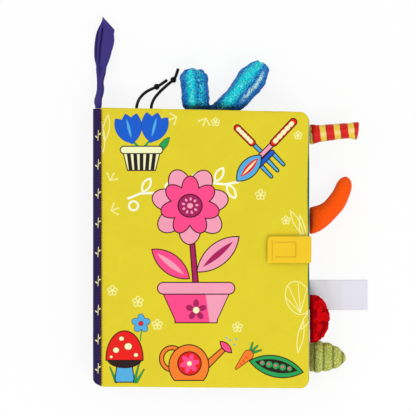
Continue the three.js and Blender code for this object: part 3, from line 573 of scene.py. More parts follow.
def print_pale_sprigs(p, c):
    """Pale line flowers and sprigs scattered over the ground."""
    pale = c.pale_line
    for x, y, r in ((-73, -36, 3.2), (-52, -45, 3.4), (-36, -64, 3.3), (30, -66, 3.2), (49, 43, 3.3),
                    (80, 92, 2.6), (12, 103, 2.6), (70, 22, 2.7)):
        p.plain(p.ring(p.petals((x, y), 5, r * 0.78, (r * 0.52, r * 0.42), 18), 0.36), pale)
        p.plain(p.dot((x, y), r * 0.26), pale)
    for place, turn in (((-74, 30), 20), ((-20, 107), 200), ((4, 106), 250), ((-75, 55), 60)):
        for spread in (-50, 0, 50):
            tip = beyond(place, 6, math.radians(turn + spread))
            p.plain(p.bar(place, tip, 0.4), pale)
            p.plain(p.dot(tip, 0.8), pale)
    for place, turn, half in (((84, 12), 100, 14), ((79, 20), 118, 11), ((82, -74), 80, 13),
                              ((87, -60), 60, 9), ((-82, 92), 96, 14), ((-78, 98), 82, 11)):
        p.plain(p.ring(p.leaf(place, half, 2.4, turn), 0.36), pale)
    shell = p.oval((80, -42), (10, 14), 20)
    p.plain(p.ring(shell, 0.35), pale)
    for turn in (-60, -20, 20, 60):
        end = beyond((80, -42), 12, math.radians(110 + turn))
        p.plain(p.within(p.bar((82, -54), end, 0.3), shell), pale)


def print_front_cover(p):
    c = colours()
    for draw in (print_pale_sprigs, print_garland, print_flower_pot, print_tulips, print_garden_tools,
                 print_toadstool, print_watering_can, print_pea_pod):
        draw(p, c)


def print_back_cover(p):
    """The back cover carries one plain daisy and the pale sprigs."""
    c = colours()
    print_pale_sprigs(p, c)
    p.ink(p.petals((0, 0), 8, 17, (11, 6), 0), c.pale_pink)
    p.ink(p.dot((0, 0), 9), c.hot_pink)


def print_spine(p):
    """Small pale sprigs down the spine."""
    c = colours()
    for step in range(9):
        y = 92 - step * 24
        p.plain(p.bar((-84.9, y - 4), (-84.5, y + 4), 0.22), c.pale_line)
        for side in (-1, 1):
            p.plain(p.oval((-84.7 + side * 1.5, y + side * 1.2), (1.2, 0.5), 38 * side), c.pale_line)


def page_print(ground_fill, motif_fill, heart_fill, centres):
    """A page: large plain flowers with dark outlines, and small dots between them."""
    def draw(p):
        c = colours()
        for x, y, size, turn in centres:
            p.ink(p.petals((x, y), 6, size, (size * 0.62, size * 0.42), turn), getattr(c, motif_fill))
            p.ink(p.dot((x, y), size * 0.5), getattr(c, heart_fill))
            p.ink(p.leaf((x + size * 1.9, y - size * 1.7), size * 1.1, size * 0.34, -40), c.leaf)
            for dot in ((x - size * 2, y - size * 1.5), (x + size * 1.6, y + size * 1.9)):
                p.plain(p.dot(dot, size * 0.16), c.cream)
    return ground_fill, draw


BIG_FLOWERS = ((-30, 50, 17, 0), (38, 4, 15, 20), (-28, -54, 16, 40))
TWO_FLOWERS = ((10, 38, 20, 10), (0, -48, 22, 30))
PAGES = {
    "front_cover_lining": page_print(srgb(34, 150, 160), "pale_pink", "plum", TWO_FLOWERS),
    "leaf_1_front_cloth": page_print(srgb(38, 108, 94), "red", "cream", BIG_FLOWERS),
    "leaf_1_back_cloth": page_print(srgb(58, 150, 200), "cream", "orange", TWO_FLOWERS),
    "leaf_2_front_cloth": page_print(srgb(240, 132, 52), "blue", "cream", BIG_FLOWERS),
    "leaf_2_back_cloth": page_print(srgb(34, 104, 78), "hot_pink", "cream", TWO_FLOWERS),
    "leaf_3_front_cloth": page_print(srgb(226, 76, 128), "cream", "orange", BIG_FLOWERS),
    "leaf_3_back_cloth": page_print(srgb(50, 74, 150), "pale_pink", "red", TWO_FLOWERS),
    "back_cover_lining": page_print(srgb(64, 160, 128), "sky", "cream", BIG_FLOWERS),
}


# Materials

def new_material(name):
    """An empty material: its sketch, its shader and a point on the piece in millimetres."""
    material = bpy.data.materials.new(name)
    material.use_nodes = True
    s = Sketch(material.node_tree)
    shader = next(n for n in material.node_tree.nodes if n.type == "BSDF_PRINCIPLED")
    place = s.node("ShaderNodeTexCoord").outputs["Object"]
    scaled = s.node("ShaderNodeMapping")
    scaled.inputs["Scale"].default_value = (1000, 1000, 1000)
    s.feed(scaled.inputs["Vector"], place)
    return material, s, shader, scaled.outputs["Vector"]


def add_bump(s, shader, height, distance, strength=1.0):
    bump = s.node("ShaderNodeBump")
    bump.inputs["Strength"].default_value = strength
    bump.inputs["Distance"].default_value = distance
    s.feed(bump.inputs["Height"], height)
    s.feed(shader.inputs["Normal"], bump.outputs["Normal"])


def shaded(s, colour, shade):
    made = s.node("ShaderNodeMix", data_type="RGBA", blend_type="MULTIPLY")
    made.inputs["Factor"].default_value = 1.0
    s.feed(made.inputs["A"], colour)
    s.feed(made.inputs["B"], s.joined(shade, shade, shade))
    return made.outputs["Result"]


def set_finish(shader, roughness, sheen=0.0, specular=0.3):
    shader.inputs["Roughness"].default_value = roughness
    shader.inputs["Sheen Weight"].default_value = sheen
    shader.inputs["Sheen Roughness"].default_value = 0.5
    shader.inputs["Specular IOR Level"].default_value = specular


def cotton(name, ground, draw=None, dye=0.1, crease=0.28):
    """Printed cotton: ground colour, print, uneven dye, weave and soft creases. Draw lays the print."""
    material, s, shader, point = new_material(name)
    colour = s.node("ShaderNodeRGB").outputs[0]
    colour.default_value = tuple(ground)
    if draw:
        printed = Print(s, point, colour)
        draw(printed)
        colour = printed.colour
    weave = s.group("Plain weave", Point=point, Thread=sizes().weave / MM)
    uneven = s.group("Uneven dye", Point=point, Amount=dye)["Shade"]
    colour = shaded(s, shaded(s, colour, weave["Shade"]), uneven)
    s.feed(shader.inputs["Base Color"], colour)
    creases = s.group("Handled creases", Point=point, Scale=0.05)["Height"]
    add_bump(s, shader, s.plus(s.times(creases, crease), s.times(weave["Height"], 0.1)), 0.6 * MM, 0.6)
    set_finish(shader, 0.8, 0.02, 0.16)
    return material


def wadding_material():
    """The fibre of the wadding, made once for every filling."""
    found = bpy.data.materials.get("Wadding fibre")
    if found:
        return found
    material, s, shader, point = new_material("Wadding fibre")
    fibres = s.noise(point, 1.4, 6.0, 0.7, 1.5)["Fac"]
    s.feed(shader.inputs["Base Color"], s.mix(fibres, srgb(226, 224, 214), srgb(250, 249, 244)))
    add_bump(s, shader, fibres, 0.8 * MM)
    set_finish(shader, 0.95)
    return material


def film_material():
    material, s, shader, point = new_material("Crinkle film")
    facets = s.cells(point, 0.16)["Distance"]
    s.feed(shader.inputs["Base Color"], s.mix(facets, srgb(206, 218, 224), srgb(236, 242, 246)))
    add_bump(s, shader, facets, 1.2 * MM)
    set_finish(shader, 0.25, 0.0, 0.6)
    return material


def thread_material(name, colour):
    material, s, shader, point = new_material(name)
    twist = s.math("SINE", s.vector("DOT_PRODUCT", point, (9.0, 14.0, 7.0)))
    s.feed(shader.inputs["Base Color"], shaded(s, tuple(colour), s.between(twist, -1.0, 1.0, 0.75, 1.1)))
    add_bump(s, shader, twist, 0.1 * MM)
    set_finish(shader, 0.6, 0.1)
    return material


# Mesh helpers

def finished(name, bm, material, body, replaces=()):
    """Makes a bmesh into a piece that rides on a body."""
    mesh = bpy.data.meshes.new(name)
    bmesh.ops.recalc_face_normals(bm, faces=bm.faces)
    bm.to_mesh(mesh)
    bm.free()
    piece = bpy.data.objects.new(name, mesh)
    bpy.context.scene.collection.objects.link(piece)
    mesh.materials.append(material)
    mesh.shade_smooth()
    if body:
        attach(piece, body)
    if replaces:
        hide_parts(*replaces)
    return piece


def thicken(piece, thickness, offset=-1.0):
    solid = piece.modifiers.new("Thickness", "SOLIDIFY")
    solid.thickness = thickness
    solid.offset = offset
    solid.use_even_offset = True


def round_edges(piece, width, segments=2):
    bevel = piece.modifiers.new("Rounded edges", "BEVEL")
    bevel.width = width
    bevel.segments = segments
    bevel.limit_method = "ANGLE"


def apply_modifiers(piece):
    graph = bpy.context.evaluated_depsgraph_get()
    made = bpy.data.meshes.new_from_object(piece.evaluated_get(graph), depsgraph=graph)
    piece.modifiers.clear()
    piece.data = made


def face_out(piece, away):
    """Turns an open sheet's faces to the side they should show."""
    total = sum((f.normal.dot(away) * f.area for f in piece.data.polygons), 0.0)
    if total < 0:
        piece.data.flip_normals()


def add_flat_grid(bm, columns, rows, size, middle, turn=Matrix()):
    """A grid of faces round a middle, as large as a size across and up."""
    bmesh.ops.create_grid(
        bm, x_segments=columns, y_segments=rows, size=0.5,
        matrix=Matrix.Translation(middle) @ turn @ Matrix.Diagonal((*size, 1, 1)),
    )


def smooth_step(low, high, value):
    share = min(1.0, max(0.0, (value - low) / (high - low)))
    return share * share * (3 - 2 * share)


def hump(value, middle, width):
    """One at the middle, and falling off to nothing at a few widths from it."""
    return math.exp(-(((value - middle) / width) ** 2))


def add_stitch(bm, start, end, radius):
    """A short round-ended bar of thread between two points."""
    run = end - start
    made = bmesh.ops.create_uvsphere(bm, u_segments=6, v_segments=4, radius=radius)
    turn = Vector((0, 0, 1)).rotation_difference(run.normalized()).to_matrix().to_4x4()
    for v in made["verts"]:
        v.co.z += math.copysign(run.length / 2, v.co.z) if abs(v.co.z) > 1e-9 else 0.0
    middle = Matrix.Translation((start + end) / 2)
    bmesh.ops.transform(bm, matrix=middle @ turn, verts=made["verts"])


def stitch_row(name, pairs, body, thread, radius):
    """Stitches between each pair of points, as one piece."""
    bm = bmesh.new()
    for start, end in pairs:
        add_stitch(bm, start, end, radius)
    finished(name, bm, thread, body)


def stitches_along(start, end):
    """Pairs of points for a row of running stitches along a straight line."""
    start, end = Vector(start), Vector(end)
    count = max(1, round((end - start).length / sizes().stitch))
    step = (end - start) / count
    half_gap = 0.16
    return [(start + step * (i + half_gap), start + step * (i + 1 - half_gap)) for i in range(count)]


# Covers and leaves

class Panel:
    """One cover or leaf: its outline, its height and its body."""

    def __init__(self, body, upper, lower, grid, shortfall):
        low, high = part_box(upper)
        below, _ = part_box(lower)
        self.body = body
        self.left = max(low.x, SEAM_X) if body.startswith("leaf") else SEAM_X
        self.right = high.x
        self.shortfall = shortfall
        self.top = high.z
        self.bottom = below.z
        self.middle = (high.z + below.z) / 2
        self.grid = grid

    def head(self, x):
        share = (x - SEAM_X) / (COVER_HIGH.x - SEAM_X)
        return COVER_HIGH.y - sizes().head_fall * share - self.shortfall

    def foot(self, x):
        share = (COVER_HIGH.x - x) / (COVER_HIGH.x - SEAM_X)
        return COVER_LOW.y + sizes().foot_fall * share + self.shortfall

    def inset(self, x, y):
        """How far a point lies in from the sewn outline."""
        s = sizes()
        sides = (x - self.left, self.right - x, y - self.foot(x), self.head(x) - y)
        radius = s.corner if sides[1] < sides[0] else s.spine_corner
        across = min(sides[0], sides[1])
        up = min(sides[2], sides[3])
        if across < radius and up < radius:
            return radius - math.hypot(radius - across, radius - up)
        return min(across, up)

    def wave_edges(self, v, x, y):
        """Moves a point near the fore-edge, the head or the foot a little inwards, as a sewn edge waves."""
        near = 14 * MM
        x_edge = smooth_step(self.right - 30 * MM, self.right, x)
        y_edge = max(smooth_step(-near, 0, y - self.head(x)), smooth_step(-near, 0, self.foot(x) - y))
        if self.body == "front_cover":
            v.co.x -= x_edge * (1.2 * MM * hump(y, 45 * MM, 38 * MM) + 0.8 * MM * hump(y, -28 * MM, 20 * MM))
        v.co.x -= x_edge * 0.3 * MM * abs(noise.noise(Vector((y / (15 * MM), self.middle * 90, 0))))
        wave = noise.noise(Vector((x / (17 * MM), self.middle * 90, 5))) ** 2
        v.co.y -= math.copysign(y_edge * 0.4 * MM * wave, y)

    def cut_outline(self, bm):
        """Trims a flat grid to the slanted outline with its rounded corners."""
        s = sizes()
        cuts = []
        for x, side in ((self.left, -1), (self.right, 1)):
            cuts.append((Vector((x, 0, 0)), Vector((side, 0, 0))))
        for edge, side in ((self.head, 1), (self.foot, -1)):
            a = Vector((self.left, edge(self.left), 0))
            b = Vector((self.right, edge(self.right), 0))
            along = (b - a).normalized()
            cuts.append((a, Vector((-along.y, along.x, 0)) * side))
        for x, side, radius in ((self.left, -1, s.spine_corner), (self.right, 1, s.corner)):
            for edge, up in ((self.head, 1), (self.foot, -1)):
                centre = Vector((x - side * radius, edge(x) - up * radius, 0))
                for step in range(1, 6):
                    turn = math.pi / 2 * step / 6
                    away = Vector((side * math.cos(turn), up * math.sin(turn), 0))
                    cuts.append((centre + away * radius, away))
        for point, away in cuts:
            geometry = bm.verts[:] + bm.edges[:] + bm.faces[:]
            bmesh.ops.bisect_plane(
                bm, geom=geometry, dist=1e-6, plane_co=point, plane_no=away, clear_outer=True
            )


def sew_panel_cloth(name, panel, side, material, nodes, gutter=0.0):
    """One cloth of a panel. Side is 1 for the upper cloth and -1 for the lower one. A leaf is thin in its
    gutter, beside the spine."""
    s = sizes()
    bm = bmesh.new()
    size = (panel.right - panel.left + 4 * MM, COVER_HIGH.y - COVER_LOW.y + 4 * MM)
    middle = ((panel.left + panel.right) / 2, (COVER_HIGH.y + COVER_LOW.y) / 2, 0)
    add_flat_grid(bm, round(size[0] / panel.grid), round(size[1] / panel.grid), size, middle)
    panel.cut_outline(bm)
    half = (panel.top - panel.bottom) / 2
    rim = half * 0.5
    full = half - s.ripple * 0.65
    thin = 0.75 * MM
    for v in bm.verts:
        x, y = v.co.x, v.co.y
        inset = panel.inset(x, y)
        crown = math.sin(math.pi / 2 * min(1.0, max(0.0, inset / s.edge_round))) ** 0.8
        place = Vector((x, y, panel.middle * 7 + side * 0.4)) / (38 * MM)
        small = Vector((x, y, panel.middle * 9 - side * 0.3)) / (9 * MM)
        ripple = s.ripple * (noise.noise(place) - 0.35) * crown
        pucker = s.pucker * noise.noise(small) * hump(inset, 0.0, 9 * MM)
        up = rim + (full - rim) * crown + ripple + pucker * min(1.0, max(0.0, inset / (1.5 * MM)))
        up = min(half + 0.1 * MM, up)
        if gutter:
            up = thin + (up - thin) * smooth_step(gutter * 0.5, gutter * 1.4, x - panel.left)
        v.co.z = panel.middle + side * up
        panel.wave_edges(v, x, y)
    edge = [e for e in bm.edges if e.is_boundary]
    grown = bmesh.ops.extrude_edge_only(bm, edges=edge)["geom"]
    for v in (g for g in grown if isinstance(g, bmesh.types.BMVert)):
        v.co.z = panel.middle + side * 0.12 * MM
    piece = finished(name, bm, material, panel.body, nodes)
    face_out(piece, Vector((0, 0, side)))
    thicken(piece, s.cloth)


def lay_filling(name, panel, node, material, cloth_like):
    """The wadding or the crinkle film inside a panel, a little uneven."""
    low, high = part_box(node)
    bm = bmesh.new()
    size = (high.x - low.x - 1 * MM, high.y - low.y - 6 * MM)
    add_flat_grid(bm, 28, 38, size, (low + high) / 2)
    thick = high.z - low.z
    for v in bm.verts:
        v.co.z += 0.12 * thick * noise.noise(v.co / (22 * MM))
    piece = finished(name, bm, material, panel.body, (node,))
    thicken(piece, thick * 0.7, 0.0)
    if cloth_like:
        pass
    else:
        round_edges(piece, thick * 0.25)


def cover_panels():
    return {
        name: Panel(name, f"{name}_{upper}", f"{name}_{lower}", grid, 0.0)
        for name, upper, lower, grid in (("front_cover", "cloth", "lining", sizes().cover_grid),
                                         ("back_cover", "lining", "cloth", sizes().leaf_grid))
    }


def leaf_panels():
    return {
        name: Panel(name, name + "_front_cloth", name + "_back_cloth", sizes().leaf_grid, 0.5 * MM)
        for name in ("leaf_1", "leaf_2", "leaf_3")
    }


class BOOK_OT_sew_covers(bpy.types.Operator):
    """Sew the two padded covers with their printed cloths and linings"""
    bl_idname = "book.sew_covers"
    bl_label = "Sew covers"

    def execute(self, context):
        c = colours()
        panels = cover_panels()
        for name, side, draw in (("front_cover", 1, print_front_cover), ("back_cover", -1, print_back_cover)):
            panel, title = panels[name], name.replace("_", " ")
            printed = cotton(title + " print", c.cover, draw, crease=0.34)
            sew_panel_cloth(name + "_printed_cloth", panel, side, printed, (name + "_cloth",))
            lining = cotton(title + " lining print", *PAGES[name + "_lining"])
            sew_panel_cloth(name + "_page_cloth", panel, -side, lining, (name + "_lining",))
        return {"FINISHED"}


class BOOK_OT_sew_leaves(bpy.types.Operator):
    """Sew the three padded leaves with a print on each side"""
    bl_idname = "book.sew_leaves"
    bl_label = "Sew leaves"

    def execute(self, context):
        for name, panel in leaf_panels().items():
            for face, side in (("front", 1), ("back", -1)):
                node = f"{name}_{face}_cloth"
                printed = cotton(node.replace("_", " ") + " print", *PAGES[node])
                sew_panel_cloth(f"{name}_{face}_page", panel, side, printed, (node,), 9 * MM)
        return {"FINISHED"}


class BOOK_OT_lay_fillings(bpy.types.Operator):
    """Lay the wadding and the crinkle film inside covers and leaves"""
    bl_idname = "book.lay_fillings"
    bl_label = "Lay fillings"

    def execute(self, context):
        film = film_material()
        for name, panel in {**cover_panels(), **leaf_panels()}.items():
            lay_filling(name + "_batting", panel, name + "_wadding", wadding_material(), False)
            lay_filling(name + "_crinkle_sheet", panel, name + "_crinkle_film", film, True)
        return {"FINISHED"}


# Forms that a function puts in place: a flat grid is wrapped round, and sewn together where it meets

def wrapped(bm, around, along, place, closed=True):
    """Wraps a grid of faces by place(share around, share along), and keeps the shares as its UV map."""
    made = bmesh.ops.create_grid(bm, x_segments=around, y_segments=along, size=0.5)["verts"]
    uv = bm.loops.layers.uv.verify()
    for v in made:
        for loop in v.link_loops:
            loop[uv].uv = (v.co.x + 0.5, v.co.y + 0.5)
    for v in made:
        v.co = place(v.co.x + 0.5, v.co.y + 0.5)
    if closed:
        bmesh.ops.remove_doubles(bm, verts=made, dist=1e-6)
        open_edges = [e for e in bm.edges if e.is_boundary]
        if open_edges:
            bmesh.ops.holes_fill(bm, edges=open_edges, sides=0)
    return made


class Path:
    """A smooth flat curve from one point to another, read by the share of its length."""

    def __init__(self, start, leave, arrive, end):
        self.points = interpolate_bezier(start, leave, arrive, end, 96)
        self.run = [0.0]
        for a, b in zip(self.points, self.points[1:]):
            self.run.append(self.run[-1] + (b - a).length)
        self.length = self.run[-1]

    def __call__(self, share):
        target = share * self.length
        i = min(len(self.points) - 2, max(0, bisect.bisect_right(self.run, target) - 1))
        a, b = self.points[i], self.points[i + 1]
        return a + (b - a) * ((target - self.run[i]) / (self.run[i + 1] - self.run[i])), (b - a).normalized()


def straight(start, end):
    return Path(start, start.lerp(end, 1 / 3), start.lerp(end, 2 / 3), end)


def tip_round(start, share, power=2.0):
    """Full up to a start, and rounded off to nothing from there to the end."""
    past = max(0.0, (share - start) / (1 - start))
    return max(0.0, 1 - past ** power) ** (1 / power)


class Stuffed:
    """A stuffed form along a path that leaves a sewn edge. Its width and thickness go by the path's share,
    and it is as thin as its lips at the edge, and filled out at a run from it."""

    def __init__(self, origin, path, width, thickness, run, turn=0.0, seam_pull=0.9):
        self.origin = Vector(origin)
        self.turn = Matrix.Rotation(turn, 3, "Z")
        self.path = path
        self.width = width
        self.thickness = thickness
        self.run = run
        self.seam_pull = seam_pull

    def local(self, point):
        return self.turn.transposed() @ (point - self.origin)

    def point(self, around, along, shrink=0.0):
        at, direction = self.path(along * (1 - shrink / self.path.length))
        side = Vector((-direction.y, direction.x, 0))
        angle = math.tau * around
        across = max(0.0, self.width(along) / 2 - shrink)
        local = at + side * across * math.cos(angle)
        local.x = max(local.x, 0.75 * shrink - 0.5 * MM)
        lip = sizes().lip / 2
        up = max(0.0, self.thickness(along) / 2 - shrink)
        if up > lip:
            up = lip + (up - lip) * math.sin(math.pi / 2 * min(1.0, max(0.0, local.x) / self.run))
        lift = math.copysign(abs(math.sin(angle)) ** self.seam_pull, math.sin(angle))
        local.z = up * lift
        return self.origin + self.turn @ local

    def add_to(self, bm, around, along, shrink, start=0.0):
        wrapped(bm, around, along, lambda u, v: self.point(u, start + (1 - start) * v, shrink))


def push_out(bm, amount):
    """Moves each point along its own direction by amount(point, direction), and keeps that amount in mm."""
    bm.normal_update()
    kept = bm.verts.layers.float.new("relief")
    moves = [(v, amount(v.co, v.normal)) for v in bm.verts]
    for v, move in moves:
        v[kept] = move / MM
        v.co += v.normal * move


def stuff_tail(name, forms, skin_material, relief, slack, voxel=1.2, held=None, cuts=1):
    """The skin of a tail and the stuffing inside it. The forms are fused, blown up as cloth, then given
    relief. Held says which points the seams hold, beside those at the sewn edge."""
    bm = bmesh.new()
    for form in forms:
        form.add_to(bm, 56, 72, sizes().puff_start)
    bm = fused(bm, voxel * MM)
    local = forms[0].local

    def sewn(point):
        return local(point).x < 2.0 * MM or (held is not None and held(local(point)))

    def risen(point, direction):
        return relief(point, direction) * smooth_step(1 * MM, 6 * MM, local(point).x)

    blow_up(bm, sewn, slack)
    bmesh.ops.recalc_face_normals(bm, faces=bm.faces)
    for _ in range(cuts):
        bmesh.ops.subdivide_edges(bm, edges=bm.edges, cuts=1, use_grid_fill=True, smooth=1.0)
    push_out(bm, risen)
    skin = finished(name + "_cover", bm, skin_material, name, (name + "_skin",))
    bm = bmesh.new()
    for form in forms:
        form.add_to(bm, 20, 24, 3.0 * MM, 0.16)
    nodes = (name + "_stuffing",)
    filling = finished(name + "_fibre_filling", bm, wadding_material(), name, nodes)
    return skin


def carrier_of(bm, name):
    """An object outside the book that carries a copy of the bmesh through a modifier."""
    mesh = bpy.data.meshes.new(name)
    bm.to_mesh(mesh)
    carrier = bpy.data.objects.new(name, mesh)
    bpy.context.scene.collection.objects.link(carrier)
    return carrier


def evaluated_mesh(carrier):
    return carrier.evaluated_get(bpy.context.evaluated_depsgraph_get()).data


def remove_carrier(carrier):
    mesh = carrier.data
    bpy.data.objects.remove(carrier)
    bpy.data.meshes.remove(mesh)


def fused(bm, voxel):
    """Closed forms that cross each other, made one closed skin of even faces."""
    carrier = carrier_of(bm, "to fuse")
    bm.free()
    remesh = carrier.modifiers.new("Fuse", "REMESH")
    remesh.mode = "VOXEL"
    remesh.voxel_size = voxel
    made = bmesh.new()
    made.from_mesh(evaluated_mesh(carrier))
    remove_carrier(carrier)
    for _ in range(2):
        bmesh.ops.smooth_vert(
            made, verts=made.verts, factor=0.5, use_axis_x=True, use_axis_y=True, use_axis_z=True
        )
    return made


def blow_up(bm, sewn, slack):
    """Padded cloth: a skin with a share of spare cloth is blown up by Cloth with its seams held, and no
    point goes further than a cap."""
    s = sizes()
    scene = bpy.context.scene
    carrier = carrier_of(bm, "to blow up")
    seams = carrier.vertex_groups.new(name="seams")
    seams.add([v.index for v in carrier.data.vertices if sewn(v.co)], 1.0, "REPLACE")
    cloth = carrier.modifiers.new("Blow up", "CLOTH")
    for name, value in {
        "quality": 6, "mass": s.puff_mass, "use_pressure": True, "uniform_pressure_force": s.puff_pressure,
        "tension_stiffness": 15, "compression_stiffness": 8, "bending_stiffness": 0.05,
        "shrink_min": -slack, "vertex_group_mass": "seams",
    }.items():
        setattr(cloth.settings, name, value)
    cloth.settings.effector_weights.gravity = 0
    cloth.collision_settings.use_collision = False
    for step in range(1, 21):
        scene.frame_set(step)
    swollen = evaluated_mesh(carrier)
    ways = [after.co - before.co for before, after in zip(bm.verts, swollen.vertices)]
    for v, way in zip(bm.verts, ways):
        v.co += way * min(1.0, s.puff_cap / max(way.length, 1e-9))
    scene.frame_set(1)
    remove_carrier(carrier)


# Materials of the edge pieces

def foil_material(name):
    """Blue foil cloth with painted light: broad painted reflection streaks along each lobe, a painted white
    glint, a painted mint highlight, painted sparkles and painted shadow at the root, with blue edges and a
    crumpled glitter grain.
    """
    c = colours()
    material, s, shader, point = new_material(name)
    place = s.node("ShaderNodeAttribute", attribute_name="lobe_place").outputs["Vector"]
    along, across = s.split(place)
    second = s.vector("DOT_PRODUCT", place, (0, 0, 1))
    wander = s.minus(s.noise(point, 0.16, 3.0, 0.6)["Fac"], 0.5)
    crumple = s.noise(point, 0.8, 3.0, 0.75, 0.6)["Fac"]
    moved = s.plus(across, s.times(wander, 0.3))

    # Painted reflection: a bright band across a lobe, from its middle out to a half width.
    def painted_streak(middle, half, strength):
        off = s.over(s.size(s.minus(moved, middle)), half)
        return s.times(s.between(off, 1.0, 0.25), strength)

    # The main painted reflection streak, and a second one on the short lobe, broken by the crumples into a
    # mottled painted highlight.
    middle = s.math("MULTIPLY_ADD", second, 0.02, 0.24)
    half = s.math("MULTIPLY_ADD", second, 0.12, 0.4)
    main = painted_streak(middle, half, 1.0)
    beside = s.times(painted_streak(-0.42, 0.4, 0.75), s.minus(1.0, second))
    main = s.math("MAXIMUM", main, s.times(beside, s.between(crumple, 0.44, 0.56)))
    mottled = s.times(main, s.between(crumple, 0.34, 0.46, 0.78, 1.0))
    colour = s.mix(s.between(crumple, 0.42, 0.56), srgb(0, 72, 172), srgb(0, 150, 214))
    colour = s.mix(mottled, colour, tuple(c.foil_painted_reflection))
    # A painted white glint along part of the long lobe, broken by the crumples.
    white = s.times(painted_streak(-0.54, 0.2, second), s.between(along, 0.75, 1.25))
    white = s.times(white, s.between(along, 2.75, 2.3))
    colour = s.mix(s.times(white, s.between(crumple, 0.4, 0.52, 0.1, 1.0)), colour, srgb(206, 252, 254))
    # A painted mint highlight inside the main painted reflection streak.
    painted_mint_highlight = s.times(main, s.between(crumple, 0.55, 0.66))
    colour = s.mix(s.times(painted_mint_highlight, 0.75), colour, srgb(84, 246, 222))
    rim = s.between(s.size(across), 0.66, 0.98, 0.0, 0.9)
    colour = s.mix(rim, colour, tuple(c.foil))
    # Painted shadow: the lobes go dark navy towards their root at the book's edge.
    root = s.between(s.plus(along, wander), 0.42, 0.05, 0.0, 0.85)
    colour = s.mix(root, colour, srgb(8, 66, 112))
    flakes = s.cells(point, 1.1)
    glitter = s.math("FRACT", s.times(s.vector("DOT_PRODUCT", flakes["Color"], (1, 1, 1)), 3.7))
    # Painted sparkles on the glitter flakes, stronger inside the painted reflection streak.
    painted_sparkle = s.times(s.between(glitter, 0.8, 0.92), s.math("MULTIPLY_ADD", main, 0.6, 0.15))
    colour = s.mix(painted_sparkle, shaded(s, colour, s.between(glitter, 0.0, 0.8, 0.78, 1.3)), srgb(170, 255, 250))
    s.feed(shader.inputs["Base Color"], colour)
    add_bump(s, shader, s.plus(glitter, s.times(crumple, 5.0)), 0.5 * MM, 0.8)
    set_finish(shader, 0.4, 0.0, 0.25)
    shader.inputs["Metallic"].default_value = 0.25
    return material


def satin_stripes_material(name, root, lean):
    """Satin ribbon in broad red and yellow stripes across the tail, with fine ribs in the weave and a painted
    highlight band along the tail.
    """
    c = colours()
    material, s, shader, point = new_material(name)
    local = s.turned(s.vector("SUBTRACT", point, (root.x / MM, root.y / MM, 0)), math.radians(lean))
    along, across = s.split(local)
    wander = s.noise(point, 0.25, 1.0)["Fac"]
    phase = s.over(s.plus(along, s.math("MULTIPLY_ADD", wander, 1.2, 3.0)), 11.7)
    stripe = s.math("FRACT", phase)
    on = s.times(s.between(stripe, 0.02, 0.06), s.between(stripe, 0.5, 0.46))
    colour = s.mix(on, tuple(c.satin_red), tuple(c.satin_yellow))
    edge = s.times(s.between(s.size(s.minus(stripe, 0.49)), 0.05, 0.03), 0.8)
    colour = s.mix(edge, colour, srgb(150, 20, 24))
    # A painted highlight band along the tail, paler on each stripe.
    painted_glint = s.between(s.size(s.plus(across, 1.7)), 2.6, 0.4, 0.0, 0.45)
    colour = s.mix(painted_glint, colour, s.mix(on, srgb(244, 46, 40), srgb(255, 246, 190)))
    ribs = s.math("SINE", s.times(along, 9.0))
    s.feed(shader.inputs["Base Color"], shaded(s, colour, s.between(ribs, -1.0, 1.0, 0.92, 1.03)))
    add_bump(s, shader, ribs, 0.06 * MM)
    set_finish(shader, 0.4, 0.0, 0.25)
    return material


def fleece_material(name, colour, pile, depth):
    """Short soft pile: mottled colour and tiny tufts."""
    material, s, shader, point = new_material(name)
    tufts = s.noise(point, pile, 4.0, 0.7)["Fac"]
    slow = s.noise(point, 0.2, 2.0)["Fac"]
    shade = s.plus(s.between(tufts, 0.3, 0.7, 0.82, 1.06), s.times(slow, 0.06))
    s.feed(shader.inputs["Base Color"], shaded(s, tuple(colour), shade))
    add_bump(s, shader, tufts, depth)
    set_finish(shader, 0.9, 0.06, 0.08)
    return material


def plush_material(name, colour):
    """Knobbly plush: painted shade between the knobs, by the relief that the mesh keeps."""
    material, s, shader, point = new_material(name)
    height = s.node("ShaderNodeAttribute", attribute_name="relief").outputs["Fac"]
    tufts = s.noise(point, 2.0, 4.0, 0.75)["Fac"]
    # Painted shade: darker red down between the knobs, by their height.
    painted_shade_share = s.between(s.plus(height, s.times(s.minus(tufts, 0.5), 0.8)), -0.25, 0.55)
    s.feed(shader.inputs["Base Color"], s.mix(painted_shade_share, srgb(150, 0, 8), tuple(colour)))
    add_bump(s, shader, tufts, 0.5 * MM)
    set_finish(shader, 0.95, 0.0, 0.03)
    return material


def corduroy_material(name, colour, root, pitch, first):
    """Mottled ribbed cloth: short tufts in fine rows, with painted shade down in the creases between the
    ribs.
    """
    material, s, shader, point = new_material(name)
    along, _ = s.split(s.vector("SUBTRACT", point, (root.x / MM, 0, 0)))
    phase = s.math("FRACT", s.over(s.minus(along, first), pitch))
    near = s.times(s.math("MINIMUM", phase, s.minus(1.0, phase)), pitch)
    rows = s.math("SINE", s.vector("DOT_PRODUCT", point, (5.2, 0.4, 1.0)))
    tufts = s.noise(s.vector("MULTIPLY", point, (1.0, 1.4, 1.0)), 0.8, 3.0, 0.75)["Fac"]
    mottled = s.mix(s.between(tufts, 0.36, 0.5), srgb(154, 164, 52), tuple(colour))
    mottled = s.mix(s.between(tufts, 0.53, 0.62), mottled, srgb(242, 244, 168))
    # Painted shade: the creases between the ribs are darkened towards dark olive.
    crease = s.between(s.plus(near, s.times(tufts, 0.8)), 0.5, 1.9, 0.75, 0.0)
    mottled = s.mix(crease, mottled, srgb(84, 96, 26))
    s.feed(shader.inputs["Base Color"], shaded(s, mottled, s.between(rows, -1.0, 1.0, 0.88, 1.05)))
    add_bump(s, shader, s.plus(s.times(rows, 0.5), tufts), 0.5 * MM)
    set_finish(shader, 0.9, 0.05, 0.1)
    return material


